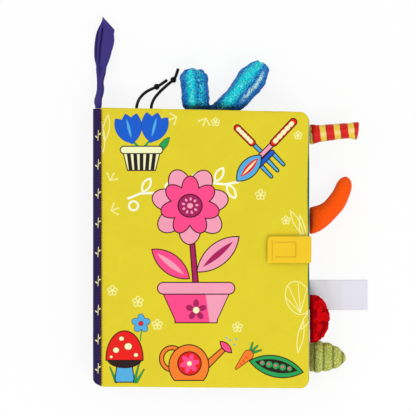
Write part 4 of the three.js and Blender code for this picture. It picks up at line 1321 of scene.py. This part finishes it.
def satin_material(name, colour):
    """White satin with fine ribs, a little bluer towards its free end."""
    material, s, shader, point = new_material(name)
    rib = 0.25
    x, _ = s.split(point)
    ribs = s.math("SINE", s.times(x, math.tau / rib))
    uneven = s.group("Uneven dye", Point=point, Amount=0.05)["Shade"]
    far = s.between(x, 104.0, 140.0, 0.0, 0.5)
    tone = shaded(s, s.mix(far, tuple(colour), srgb(222, 220, 246)), uneven)
    s.feed(shader.inputs["Base Color"], shaded(s, tone, s.between(ribs, -1.0, 1.0, 0.97, 1.0)))
    add_bump(s, shader, ribs, 0.03 * MM)
    set_finish(shader, 0.42, 0.1, 0.5)
    return material


def braid_material(name, colour):
    """Braided cord: two sets of strands that cross, read from the tube's own UV map."""
    material, s, shader, point = new_material(name)
    uv = s.node("ShaderNodeTexCoord").outputs["UV"]
    scaled = s.vector("MULTIPLY", uv, (4.0, 30.0, 1.0))
    x, y = s.split(scaled)
    first = s.math("SINE", s.times(s.plus(x, y), math.pi))
    second = s.math("SINE", s.times(s.minus(x, y), math.pi))
    strands = s.math("MAXIMUM", s.size(first), s.size(second))
    s.feed(shader.inputs["Base Color"], s.mix(strands, srgb(8, 8, 9), tuple(colour)))
    add_bump(s, shader, strands, 0.3 * MM)
    set_finish(shader, 0.6, 0.0, 0.2)
    return material


def hook_material(name):
    material, s, shader, point = new_material(name)
    hooks = s.cells(point, 2.2)["Distance"]
    s.feed(shader.inputs["Base Color"], s.mix(hooks, srgb(196, 150, 20), srgb(240, 206, 70)))
    add_bump(s, shader, hooks, 0.4 * MM)
    set_finish(shader, 0.7)
    return material


UPRIGHT = Matrix.Rotation(math.pi / 2, 4, "Y")


class BOOK_OT_sew_spine(bpy.types.Operator):
    """Sew the spine's cloth round its wadding, with its lining"""
    bl_idname = "book.sew_spine"
    bl_label = "Sew spine"

    def execute(self, context):
        printed = cotton("Spine print", colours().spine, print_spine, dye=0.16, crease=0.3)
        self.sew_half("front", 1, printed, ["front_spine_margin"])
        self.sew_half("back", -1, printed, ["back_spine_margin", "spine_cloth"])
        self.line_spine()
        return {"FINISHED"}

    def sew_half(self, name, side, material, nodes):
        """The spine's cloth from a cover's seam to the middle of the spine."""
        edge_z = MARGIN_HIGH.z if side > 0 else 0.0
        profile = self.profile(edge_z, side)

        def place(u, v):
            at, _ = profile(u)
            out = (SEAM_X - at.x) / (SEAM_X - SPINE_LOW.x)
            foot = MARGIN_LOW.y + (4.0 * max(0.0, out) ** 4 - 1.9 * max(0.0, 1 - out) ** 2) * MM
            head = MARGIN_HIGH.y - 0.5 * MM * max(0.0, out) ** 4
            y = foot + (head - foot) * v
            wave = noise.noise(Vector((at.x * 30, y * 45, side * 3))) * 0.35 * MM
            tight = math.sin(math.pi * min(1.0, u * 1.6)) if u < 0.6 else 0.4
            shut = smooth_step(0.965, 1.0, abs(v - 0.5) * 2) * smooth_step(0.5, 1.0, u)
            return Vector((at.x + 2.2 * MM * shut - wave * 0.6 * tight, y, at.y + side * wave * tight))

        bm = bmesh.new()
        wrapped(bm, 22, 150, place, closed=False)
        piece = finished(f"spine_{name}_half", bm, material, None)
        face_out(piece, Vector((-1, 0, side)))
        thicken(piece, 0.5 * MM)
        apply_modifiers(piece)
        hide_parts(*nodes)
        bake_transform(piece)

    def profile(self, edge_z, side):
        """From the seam on the cover, over the edge, to the middle of the spine."""
        low = SPINE_LOW.x
        return Path(
            Vector((SEAM_X - 0.2 * MM, edge_z - side * 0.5 * MM, 0)),
            Vector((low + 0.5 * MM, edge_z + max(0.0, side * 1.2 * MM), 0)),
            Vector((low - 0.2 * MM, edge_z - side * 1.0 * MM, 0)),
            Vector((low + 0.4 * MM, BOOK_TOP / 2, 0)),
        )

    def line_spine(self):
        low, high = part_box("spine_lining")
        bm = bmesh.new()
        size = (high.z - low.z, high.y - low.y - 5 * MM)
        add_flat_grid(bm, 8, 60, size, (low + high) / 2, UPRIGHT)
        for v in bm.verts:
            v.co.x += 0.15 * MM * noise.noise(v.co * 60)
        lining = cotton("Spine lining cloth", colours().spine, dye=0.12)
        piece = finished("spine_inner_cloth", bm, lining, "spine", ("spine_lining",))
        thicken(piece, 0.5 * MM, 0.0)
        low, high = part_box("spine_wadding")
        low.x += 0.4 * MM
        bm = bmesh.new()
        shape = Matrix.Diagonal((*(high - low) * 0.94, 1))
        bmesh.ops.create_cube(bm, size=1, matrix=Matrix.Translation((low + high) / 2) @ shape)
        bmesh.ops.subdivide_edges(bm, edges=bm.edges, cuts=5, use_grid_fill=True)
        for v in bm.verts:
            v.co.x += 0.1 * MM * noise.noise(v.co * 90)
        piece = finished("spine_batting", bm, wadding_material(), "spine", ("spine_wadding",))
        round_edges(piece, 0.4 * MM)


class BOOK_OT_sew_strap(bpy.types.Operator):
    """Sew the closing strap that rises at the fore-edge and lies over the front cover"""
    bl_idname = "book.sew_strap"
    bl_label = "Sew strap"

    def execute(self, context):
        width = FLAP_HIGH.y - FLAP_LOW.y
        half = width / 2
        middle_y = (FLAP_HIGH.y + FLAP_LOW.y) / 2
        outer_x = RISER_HIGH.x
        top = FLAP_HIGH.z
        foot = RISER_LOW.z + 0.9 * MM
        reach = outer_x - FLAP_LOW.x
        corner = 2.0 * MM
        straight_rise = top - foot - corner
        arc = corner * math.pi / 2
        total = straight_rise + arc + reach - corner
        free_corner = 3.7 * MM

        def along(run):
            """The strap's outer face: up the edge, round the corner and over the cover."""
            if run < straight_rise:
                return Vector((outer_x, 0, foot + run))
            past = run - straight_rise
            if past < arc:
                turn = past / corner
                back, down = corner * (math.cos(turn) - 1), corner * (math.sin(turn) - 1)
                return Vector((outer_x + back, 0, top + down))
            over = past - arc
            sag = 0.35 * MM * math.sin(math.pi * min(1.0, over / (reach - corner))) if over > 0 else 0.0
            return Vector((outer_x - corner - over, 0, top - sag))

        def place(u, v):
            run = v * total
            at = along(run)
            left = total - run
            upper = half
            if left < free_corner:
                upper -= free_corner - math.sqrt(max(0.0, free_corner ** 2 - (free_corner - left) ** 2))
            y = middle_y - half + u * (half + upper)
            edge = smooth_step(0.0, 2.4 * MM, min(middle_y + upper - y, y - middle_y + half, left))
            soft = 0.18 * MM * noise.noise(Vector((at.x * 90, y * 90, at.z * 90)))
            drop = (1 - edge) * 0.35 * MM - soft
            turn = min(1.0, max(0.0, (run - straight_rise) / arc)) * math.pi / 2
            return Vector((at.x - drop * math.cos(turn), y, at.z - drop * math.sin(turn)))

        bm = bmesh.new()
        wrapped(bm, 22, 90, place, closed=False)
        cloth = cotton("Strap cloth", colours().strap, dye=0.12, crease=0.16)
        strap = finished("strap_cloth", bm, cloth, None)
        face_out(strap, Vector((1, 0, 1)))
        thicken(strap, 1.1 * MM)
        round_edges(strap, 0.35 * MM)
        apply_modifiers(strap)
        strap.data.shade_smooth()
        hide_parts("strap_riser", "strap_flap")
        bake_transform(strap)
        self.stitch(middle_y, half, top + 0.02 * MM)
        hooks = hook_material("Hook and loop tape")
        for node in ("hook_patch", "loop_patch"):
            bpy.data.objects[node].data.materials.clear()
            bpy.data.objects[node].data.materials.append(hooks)
        return {"FINISHED"}

    def stitch(self, middle_y, half, z):
        """The hem at the strap's free end, and the three stitched sides of the patch under it."""
        low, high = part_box("hook_patch")
        hem, left, right = low.x - 0.4 * MM, low.x + 1.2 * MM, high.x - 0.3 * MM
        bottom, top = low.y - 0.2 * MM, high.y + 0.4 * MM
        lines = (
            ((hem, middle_y - half + 1.6 * MM), (hem, middle_y + half - 2.8 * MM)),
            ((left, bottom), (right, bottom)), ((left, top), (right, top)), ((right, bottom), (right, top)),
        )
        pairs = [pair for start, end in lines for pair in stitches_along((*start, z), (*end, z))]
        thread = thread_material("Strap thread", srgb(232, 176, 28))
        stitch_row("strap_stitches", pairs, "strap_flap", thread, 0.2 * MM)


class BOOK_OT_sew_label(bpy.types.Operator):
    """Sew the bare satin label into the back cover's edge"""
    bl_idname = "book.sew_label"
    bl_label = "Sew label"

    def execute(self, context):
        width = LABEL_HIGH.y - LABEL_LOW.y
        length = LABEL_HIGH.x - LABEL_LOW.x
        middle = (LABEL_HIGH.y + LABEL_LOW.y) / 2
        root_z = (LABEL_HIGH.z + LABEL_LOW.z) / 2 + 0.6 * MM
        rest_z = LABEL_LOW.z + 0.45 * MM

        def place(u, v):
            run = v * length
            y = middle + (u - 0.5) * width
            fall = (rest_z - root_z) * smooth_step(0, 13 * MM, run)
            crease = 0.25 * MM * hump(run, 27 * MM, 1.6 * MM)
            curl = 0.7 * MM * smooth_step(0.5, 1.0, v) * (u - 0.35) ** 2 * 4
            wave = 0.25 * MM * (noise.noise(Vector((run * 70, y * 70, 0))) + 0.5)
            return Vector((LABEL_LOW.x + run, y, root_z + fall + crease + curl + wave))

        bm = bmesh.new()
        wrapped(bm, 30, 60, place, closed=False)
        satin = satin_material("Label satin", colours().label)
        piece = finished("label_tape", bm, satin, "label", ("label",))
        face_out(piece, Vector((0, 0, 1)))
        thicken(piece, 0.35 * MM)
        return {"FINISHED"}


class BOOK_OT_sew_hanging_loop(bpy.types.Operator):
    """Sew the twisted hanging loop into the spine's head"""
    bl_idname = "book.sew_hanging_loop"
    bl_label = "Sew hanging loop"

    def execute(self, context):
        low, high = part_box("hanging_loop")
        sewn_low, sewn_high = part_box("hanging_loop_sewn_end")
        sewn = (sewn_low + sewn_high) / 2
        wide = sewn_high.z - sewn_low.z
        length = high.y - low.y - 6.9 * MM
        thickness = 0.6 * MM
        first_twist = 0.36
        lying_z = 4.9 * MM
        bend = 0.06
        cloth = cotton("Loop cloth", colours().loop, dye=0.2, crease=0.34)

        def ply(share, w, out):
            """A point of one ply at a share of its length. W goes across it, from -1 to 1, and out is the way
            that its face looks. Lengths without a unit are in millimetres."""
            closing = smooth_step(0.86, 1, share)
            opening = smooth_step(0.4, 0.7, share)
            gather = smooth_step(0.08, 0.26, share) * (1 - smooth_step(0.4, 0.8, share))
            twist = first_twist + (math.pi / 2 - first_twist) * smooth_step(0.24, 0.65, share)
            across = Vector((math.sin(twist), 0, math.cos(twist)))
            face = Vector((-math.cos(twist), 0, math.sin(twist))) * out.x + Vector((0, 1, 0)) * out.y
            lean = 2.1 + 8.2 * share ** 2 + 0.8 * math.sin(math.pi * min(1.0, share / 0.7))
            lean += 0.6 * hump(share, 0.22, 0.07) - 0.6 * hump(share, 0.09, 0.05)
            spread = smooth_step(0.35, 0.62, share) * (1 - smooth_step(0.8, 1, share))
            lean += out.x * (1.3 - 0.4 * out.x) * spread
            slant = -5.4 * w * smooth_step(0.5, 1, share)
            z = sewn.z + (lying_z - sewn.z) * smooth_step(0, 0.7, share)
            centre = Vector((sewn.x + lean * MM, low.y + length * share + (slant - 0.2) * MM, z))
            half = 6.2 - 1.9 * gather - 1.3 * closing
            apart = 0.28 + 3.12 * smooth_step(0.3, 0.7, share)
            apart += (1.4 - apart) * closing
            bow = 2.3 * (1 - smooth_step(0.1, 0.5, share)) * smooth_step(-0.04, 0.07, share)
            bow = (bow + 0.7 * opening * (1 - closing)) * (1 - w * w)
            held = 1 - w ** 4 * (1 - smooth_step(0.36, 0.6, share))
            pleat = held * gather * 0.75 * math.sin(4.4 * w + 3.2 * out.x + 5 * share)
            crumple = 0.8 * held * noise.noise(Vector((share * 9, w * 1.6, 1.7 + out.x)))
            crumple *= math.sin(math.pi * share) ** 0.5
            groove_at = -0.62 - 0.2 * closing + 1.2 * (1 - smooth_step(0.2, 0.55, share))
            groove = -3.4 * hump(w, groove_at, 0.13) * max(0.0, out.x) * smooth_step(0.1, 0.2, share)
            groove *= (1 - 0.75 * closing) * smooth_step(0.3, 3.4, apart + bow)
            return centre + (across * half * w + face * (apart + bow + pleat + crumple + groove)) * MM

        def place(u, v):
            """Up one strand, round the folded end and down the other."""
            strand = 0.5 - bend / 2
            if v < strand:
                share, turned = v / strand, 0.0
            elif v > 0.5 + bend / 2:
                share, turned = (1 - v) / strand, math.pi
            else:
                share, turned = 1.0, math.pi * (v - strand) / bend
            return ply(share, 2 * u - 1, Vector((math.cos(turned), math.sin(turned))))

        bm = bmesh.new()
        wrapped(bm, 44, 190, place, closed=False)
        piece = finished("hanging_loop_strap", bm, cloth, None)
        thicken(piece, thickness, 0.0)
        round_edges(piece, 0.15 * MM, 1)
        apply_modifiers(piece)
        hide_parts("hanging_loop")
        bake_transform(piece)
        bm = bmesh.new()
        sewn_length = sewn_high.y - sewn_low.y
        for side in (-1, 1):
            add_flat_grid(bm, 10, 6, (wide, sewn_length), sewn + mm(side * 0.45, 0), UPRIGHT)
        ends = finished(
            "hanging_loop_tucked_plies", bm, cloth, "spine", ("hanging_loop_sewn_end",)
        )
        thicken(ends, thickness, 0.0)
        return {"FINISHED"}


class BOOK_OT_stuff_wings(bpy.types.Operator):
    """Stuff the two foil wings at the head edge"""
    bl_idname = "book.stuff_wings"
    bl_label = "Stuff wings"

    def execute(self, context):
        root = JOINTS["wings_flex"]
        head_edge = math.pi / 2 - math.atan(3.6 / 170)
        short = Stuffed(
            root, straight(mm(-1.4, 14.0), mm(33.8, 17.8)),
            lambda t: 23.6 * MM * (0.86 + 0.14 * smooth_step(0, 0.2, t)) * tip_round(0.74, t, 2.6),
            lambda t: 16 * MM * tip_round(0.7, t, 2.4), 9 * MM, head_edge,
        )

        def long_width(t):
            wide = (21.6 + 2.8 * smooth_step(0.35, 0.6, t)) * (1 - 0.34 * smooth_step(0.68, 0.97, t))
            return wide * MM * tip_round(0.88, t, 3.0)

        long = Stuffed(
            root, straight(mm(-1.4, -8.8), mm(40.4, -40.4)), long_width,
            lambda t: 16 * MM * (1 - 0.3 * smooth_step(0.62, 0.95, t)) * tip_round(0.8, t, 2.4),
            9 * MM, head_edge,
        )
        web = Stuffed(
            root, straight(mm(-1.4, 1), mm(5.2, 1)), lambda t: 36 * MM * (1 - 0.2 * t),
            lambda t: 8 * MM * tip_round(0.5, t), 9 * MM, head_edge,
        )
        notch = root + short.turn @ mm(33.6, 14.0)

        def relief(point, direction):
            creases = noise.noise(point * 140) * 0.7 + noise.noise(point * 330) * 0.5
            creases += noise.noise(point * 800) * 0.25
            dent = hump((point.xy - notch.xy).length, 0.0, 2.0 * MM)
            return (creases * (1.25 - abs(direction.z) * 0.45) - 1.2 * dent) * MM

        foil = foil_material("Foil cloth")
        skin = stuff_tail("wings", (web, short, long), foil, relief, 0.06)
        places = skin.data.attributes.new("lobe_place", "FLOAT_VECTOR", "POINT")
        for v, item in zip(skin.data.vertices, places.data):
            found = [self.lobe_place(v.co, form, number) for number, form in enumerate((short, long))]
            item.vector = min(found, key=lambda place: abs(place.y))
        return {"FINISHED"}

    def lobe_place(self, point, form, number):
        """A point's run along a lobe, its share across it from right to left, and which lobe that is."""
        start, direction = form.path(0)
        local = form.local(point) - start
        along = local.dot(direction)
        share = min(1.0, max(0.0, along / form.path.length))
        side = Vector((-direction.y, direction.x, 0))
        half = max(form.width(share) / 2, 1 * MM)
        return Vector((along / (18 * MM), local.dot(side) / half, number))


class BOOK_OT_stuff_striped_tail(bpy.types.Operator):
    """Stuff the striped satin tail"""
    bl_idname = "book.stuff_striped_tail"
    bl_label = "Stuff striped tail"

    def execute(self, context):
        root = JOINTS["striped_tail_flex"]
        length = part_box("striped_tail_skin")[1].x - root.x + 0.8 * MM
        arrive, end = Vector((length - 12 * MM, 3.8 * MM, 0)), Vector((length, 2.0 * MM, 0))
        form = Stuffed(
            root, Path(mm(-1.6, -0.6), mm(13, 0), arrive, end),
            lambda t: (17.8 - 2.4 * t) * MM * tip_round(0.95, t, 5.0),
            lambda t: 8 * MM * tip_round(0.9, t, 2.4), 5 * MM, seam_pull=0.8,
        )

        def relief(point, direction):
            along = Vector((point.x * 420, point.y * 60, point.z * 60))
            return 0.28 * MM * noise.noise(along) + 0.2 * MM * noise.noise(point * 190)

        satin = satin_stripes_material("Striped satin", root, -7)
        stuff_tail("striped_tail", (form,), satin, relief, 0.03, voxel=0.8)
        return {"FINISHED"}


class BOOK_OT_stuff_orange_tail(bpy.types.Operator):
    """Stuff the bent orange fleece tail"""
    bl_idname = "book.stuff_orange_tail"
    bl_label = "Stuff orange tail"

    def execute(self, context):
        def width(t):
            wide = 23.4 - 5.6 * smooth_step(0, 0.5, t) - 3.2 * smooth_step(0.5, 0.85, t)
            return wide * MM * tip_round(0.8, t)

        bend = [Vector((x, y, 0)) * MM for x, y in ((-1.6, 0), (13.4, 1.4), (29.6, 18.6), (30.8, 36.9))]
        form = Stuffed(
            JOINTS["orange_tail_flex"], Path(*bend), width, lambda t: 14.6 * MM * tip_round(0.8, t), 4 * MM,
        )

        def relief(point, direction):
            return 0.2 * MM * noise.noise(point * 90) + 0.12 * MM * noise.noise(point * 600)

        fleece = fleece_material("Orange fleece", colours().orange_fleece, 2.4, 0.35 * MM)
        stuff_tail("orange_tail", (form,), fleece, relief, 0.0)
        return {"FINISHED"}


# Without a seed noise_vector takes its offsets from the clock, and the knobs change from run to run
KNOB_SEED = 1


class BOOK_OT_stuff_red_tail(bpy.types.Operator):
    """Stuff the round red plush tail"""
    bl_idname = "book.stuff_red_tail"
    bl_label = "Stuff red tail"

    def execute(self, context):
        noise.seed_set(KNOB_SEED)
        form = Stuffed(
            JOINTS["red_tail_flex"], straight(mm(-1.2, 0), mm(16.2, 0)),
            lambda t: 42.2 * MM * tip_round(0, t) * min(1.0, 0.93 + t),
            lambda t: 16.6 * MM * tip_round(0.3, t), 8 * MM,
        )

        def relief(point, direction):
            """Knobs of about 4 mm, with a fine pile on them."""
            moved = point + 0.9 * MM * noise.noise_vector(point * 300)
            nearest = noise.voronoi(moved / (3.9 * MM))[0][0]
            return max(-0.5, 0.9 - 1.9 * nearest ** 2) * 1.1 * MM + 0.18 * MM * noise.noise(point * 1100)

        plush = plush_material("Red plush", colours().red_plush)
        stuff_tail("red_tail", (form,), plush, relief, 0.02, cuts=2)
        return {"FINISHED"}


class BOOK_OT_stuff_green_tail(bpy.types.Operator):
    """Stuff the ribbed green corduroy tail"""
    bl_idname = "book.stuff_green_tail"
    bl_label = "Stuff green tail"

    def execute(self, context):
        root = JOINTS["green_tail_flex"]
        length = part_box("green_tail_skin")[1].x - root.x
        pitch, first, tucked_in = 7.8 * MM, 3.8 * MM, 1.6 * MM

        def bulge(t):
            phase = (t * (length + tucked_in) - tucked_in - first) / pitch
            return 1.7 * MM * (abs(math.sin(math.pi * phase)) ** 0.45 - 1)

        def crease(local):
            phase = (local.x - first) / pitch
            return abs(phase - round(phase)) * pitch < 0.7 * MM

        form = Stuffed(
            root, straight(Vector((-tucked_in, 0, 0)), Vector((length, -1.6 * MM, 0))),
            lambda t: (28 * MM + 2 * bulge(t)) * math.sqrt(max(0.0, 1 - t * t)),
            lambda t: (15.4 * MM + 2 * bulge(t)) * tip_round(0.3, t), 8 * MM,
        )

        def relief(point, direction):
            return 0.35 * MM * noise.noise(point * 210) + 0.2 * MM * noise.noise(point * 700)

        cloth = corduroy_material("Green corduroy", colours().green_corduroy, root, pitch / MM, first / MM)
        stuff_tail("green_tail", (form,), cloth, relief, 0.05, voxel=1.0, held=crease)
        return {"FINISHED"}


# The two cords' routes are those of the frame, in millimetres: down from the leaf's edge and along the table
SHORT_CORD = (
    (-53.3, 114.21, 13.4), (-53.2, 116, 13.3), (-52.9, 117.6, 12.6), (-52.4, 119.3, 11), (-51.9, 120.8, 8.8),
    (-51.2, 122.3, 6.3), (-50.3, 123.7, 4.1), (-49.1, 125.2, 2.5), (-47.5, 126.8, 1.7), (-45.6, 128.3, 1.55),
    (-43.6, 129.5, 1.55), (-41.4, 130.6, 1.55), (-39.1, 131.6, 1.55), (-36.6, 132.7, 1.55),
    (-34.3, 134, 1.55), (-31.3, 136, 1.55), (-28, 138.4, 1.55),
)
LONG_CORD = (
    (-41.2, 113.96, 13.4), (-41.1, 115.9, 13.3), (-40.8, 117.5, 12.6), (-40.3, 119.2, 11),
    (-39.7, 120.8, 8.8), (-38.9, 122.4, 6.3), (-37.9, 124, 4.1), (-36.5, 125.8, 2.5), (-34.9, 127.6, 1.7),
    (-33.2, 129.4, 1.55), (-31.3, 131.2, 1.55), (-29.3, 133, 1.55), (-27.2, 134.8, 1.55), (-25, 136.6, 1.55),
    (-22.8, 138.5, 1.55), (-21.2, 141, 1.55), (-20, 144.2, 1.55), (-18.9, 147.8, 1.55),
)


def smooth_route(points, share):
    """A point on the smooth curve through the route's points."""
    place = share * (len(points) - 1)
    i = min(len(points) - 2, int(place))
    t = place - i
    p = [points[max(0, min(len(points) - 1, i + k))] for k in (-1, 0, 1, 2)]
    return 0.5 * (2 * p[1] + (p[2] - p[0]) * t + (2 * p[0] - 5 * p[1] + 4 * p[2] - p[3]) * t ** 2
                  + (3 * p[1] - p[0] - 3 * p[2] + p[3]) * t ** 3)


def add_tube(bm, route, radius, along, closed_path=False):
    """A round tube along route(share). An open one has rounded ends."""
    step = 0.5 / along

    def place(u, v):
        if closed_path:
            ahead, behind, thin = route((v + step) % 1.0), route((v - step) % 1.0), 1.0
        else:
            ahead, behind = route(min(1.0, v + step)), route(max(0.0, v - step))
            thin = 0.7 + 0.3 * tip_round(0.975, abs(v - 0.5) * 2)
        direction = (ahead - behind).normalized()
        side = direction.cross(Vector((0.13, 0.2, 1))).normalized()
        angle = math.tau * u
        around = side * math.cos(angle) + side.cross(direction) * math.sin(angle)
        return route(v) + around * radius * thin

    wrapped(bm, 12, along, place)


class BOOK_OT_knot_cords(bpy.types.Operator):
    """Lay the two black cords and tie the knot in each"""
    bl_idname = "book.knot_cords"
    bl_label = "Knot cords"

    def execute(self, context):
        braid = braid_material("Black braid", colours().cord)
        for name, route, knot_at in (("short", SHORT_CORD, 13), ("long", LONG_CORD, 14)):
            self.lay(name, [Vector(p) * MM for p in route], knot_at, sizes().cord / 2, braid)
        return {"FINISHED"}

    def lay(self, name, points, knot_at, radius, material):
        bm = bmesh.new()
        add_tube(bm, lambda share: smooth_route(points, share), radius, 96)
        node = f"antenna_{name}"
        tube = finished(f"{name}_cord", bm, material, "leaf_2", (node + "_cord",))
        bm = bmesh.new()
        add_tube(bm, self.knot(points, knot_at), radius * 0.8, 120, True)
        knot = finished(f"{name}_knot_turns", bm, material, "leaf_2", (node + "_knot",))

    def knot(self, points, at):
        """The route of a knot: three crossing turns round the point where it is pulled tight."""
        centre = Vector((*points[at].xy, 3.1 * MM))
        direction = (points[at + 1] - points[at - 1]).normalized()
        turn = Vector((1, 0, 0)).rotation_difference(direction).to_matrix()
        size = 0.68 * MM

        def route(share):
            a = math.tau * share
            wide = 2 + 0.62 * math.cos(3 * a)
            x, y = 0.9 * math.cos(2 * a) * wide, 0.95 * math.sin(2 * a) * wide
            return centre + turn @ (Vector((x, y, 0.95 * math.sin(3 * a))) * size)

        return route


class BOOK_OT_sew_seams(bpy.types.Operator):
    """Sew the whipped seam beside the spine, on both covers"""
    bl_idname = "book.sew_seams"
    bl_label = "Sew seams"

    def execute(self, context):
        thread = thread_material("Seam thread", colours().seam_thread)
        for name, side, z in (("front_cover", 1, BOOK_TOP - 0.55 * MM), ("back_cover", -1, 0.55 * MM)):
            pairs = []
            y = COVER_LOW.y + 2 * MM
            while y < COVER_HIGH.y - 2.5 * MM:
                start = Vector((SEAM_X - 0.9 * MM, y, z))
                end = Vector((SEAM_X + 0.8 * MM, y + 0.9 * MM, z + side * 0.15 * MM))
                pairs.append((start, end))
                y += 2.2 * MM
            stitch_row(f"{name}_whipped_seam", pairs, name, thread, 0.24 * MM)
        return {"FINISHED"}


class BOOK_OT_place_stage(bpy.types.Operator):
    """Place the pale floor, the soft lamps and the camera that looks straight down"""
    bl_idname = "book.place_stage"
    bl_label = "Place stage"

    def execute(self, context):
        scene = context.scene
        scene.view_settings.view_transform = "Standard"
        bm = bmesh.new()
        bmesh.ops.create_grid(bm, x_segments=8, y_segments=8, size=4)
        bmesh.ops.translate(bm, verts=bm.verts, vec=(0, 0, -0.4 * MM))
        finished("Table", bm, self.white_table(), None)

        world = bpy.data.worlds.new("Studio")
        scene.world = world
        world.use_nodes = True
        back = next(n for n in world.node_tree.nodes if n.type == "BACKGROUND")
        back.inputs["Color"].default_value = (1, 1, 1, 1)
        back.inputs["Strength"].default_value = 0.74
        for name, place, size, power in (
            ("Soft key", (0.9, -1.1, 1.9), 1.0, 17.0),
            ("Soft fill", (-1.3, 0.7, 1.5), 1.4, 7.0),
        ):
            light = bpy.data.lights.new(name, "AREA")
            light.size = size
            light.energy = power
            lamp = bpy.data.objects.new(name, light)
            scene.collection.objects.link(lamp)
            lamp.location = place
            lamp.rotation_euler = (-Vector(place)).to_track_quat("-Z", "Y").to_euler()
        self.look_down(scene)
        return {"FINISHED"}

    def white_table(self):
        """White that glows to the camera, so that the background stays white and still takes a shadow."""
        material = bpy.data.materials.new("White table")
        material.use_nodes = True
        s = Sketch(material.node_tree)
        out = next(n for n in material.node_tree.nodes if n.type == "OUTPUT_MATERIAL")
        shader = next(n for n in material.node_tree.nodes if n.type == "BSDF_PRINCIPLED")
        shader.inputs["Base Color"].default_value = (0.9, 0.9, 0.9, 1)
        shader.inputs["Roughness"].default_value = 0.9
        shader.inputs["Specular IOR Level"].default_value = 0.0
        glow = s.node("ShaderNodeEmission")
        glow.inputs["Strength"].default_value = 1.0
        rays = s.node("ShaderNodeLightPath")
        seen = s.math("MAXIMUM", rays.outputs["Is Camera Ray"], rays.outputs["Is Glossy Ray"])
        mixed = s.node("ShaderNodeMixShader")
        s.feed(mixed.inputs[0], s.times(seen, 0.86))
        s.feed(mixed.inputs[1], shader.outputs[0])
        s.feed(mixed.inputs[2], glow.outputs[0])
        s.feed(out.inputs["Surface"], mixed.outputs[0])
        return material

    def look_down(self, scene):
        """A camera with the photograph's framing: 416 pixels across, and the book's middle left of centre."""
        pixel = 0.824 * MM
        picture, book_x, book_y = 416, 201, 247
        distance = 4.0
        data = bpy.data.cameras.new("Camera")
        data.sensor_width = 36
        data.lens = data.sensor_width * distance / (picture * pixel)
        camera = bpy.data.objects.new("Camera", data)
        right, up = (picture / 2 - book_x) * pixel, (book_y - picture / 2) * pixel
        camera.location = (right, up, BOOK_TOP + distance)
        scene.collection.objects.link(camera)
        scene.camera = camera


class BOOK_PT_panel(bpy.types.Panel):
    """Lists the steps that sew the book"""
    bl_idname = "BOOK_PT_panel"
    bl_label = "Cloth book"
    bl_space_type = "VIEW_3D"
    bl_region_type = "UI"
    bl_category = "Cloth book"

    def draw(self, context):
        layout = self.layout
        for operator in OPERATORS:
            layout.operator(operator.bl_idname)
        for group in (context.scene.book_sizes, context.scene.book_colours):
            box = layout.box()
            for name in group.__annotations__:
                box.prop(group, name)


OPERATORS = (
    BOOK_OT_place_stage,
    BOOK_OT_knot_cords,
    BOOK_OT_sew_covers,
    BOOK_OT_sew_leaves,
    BOOK_OT_lay_fillings,
    BOOK_OT_sew_spine,
    BOOK_OT_sew_seams,
    BOOK_OT_sew_strap,
    BOOK_OT_sew_label,
    BOOK_OT_sew_hanging_loop,
    BOOK_OT_stuff_wings,
    BOOK_OT_stuff_striped_tail,
    BOOK_OT_stuff_orange_tail,
    BOOK_OT_stuff_red_tail,
    BOOK_OT_stuff_green_tail,
)
CLASSES = (BookColours, BookSizes, *OPERATORS, BOOK_PT_panel)


def register():
    for cls in CLASSES:
        bpy.utils.register_class(cls)
    bpy.types.Scene.book_colours = bpy.props.PointerProperty(type=BookColours)
    bpy.types.Scene.book_sizes = bpy.props.PointerProperty(type=BookSizes)


def unregister():
    del bpy.types.Scene.book_sizes
    del bpy.types.Scene.book_colours
    for cls in reversed(CLASSES):
        bpy.utils.unregister_class(cls)


def main():
    register()
    for make in SHADER_GROUPS:
        make()
    for operator in OPERATORS:
        area, name = operator.bl_idname.split(".")
        getattr(getattr(bpy.ops, area), name)()
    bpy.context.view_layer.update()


if __name__ == "__main__":
    main()
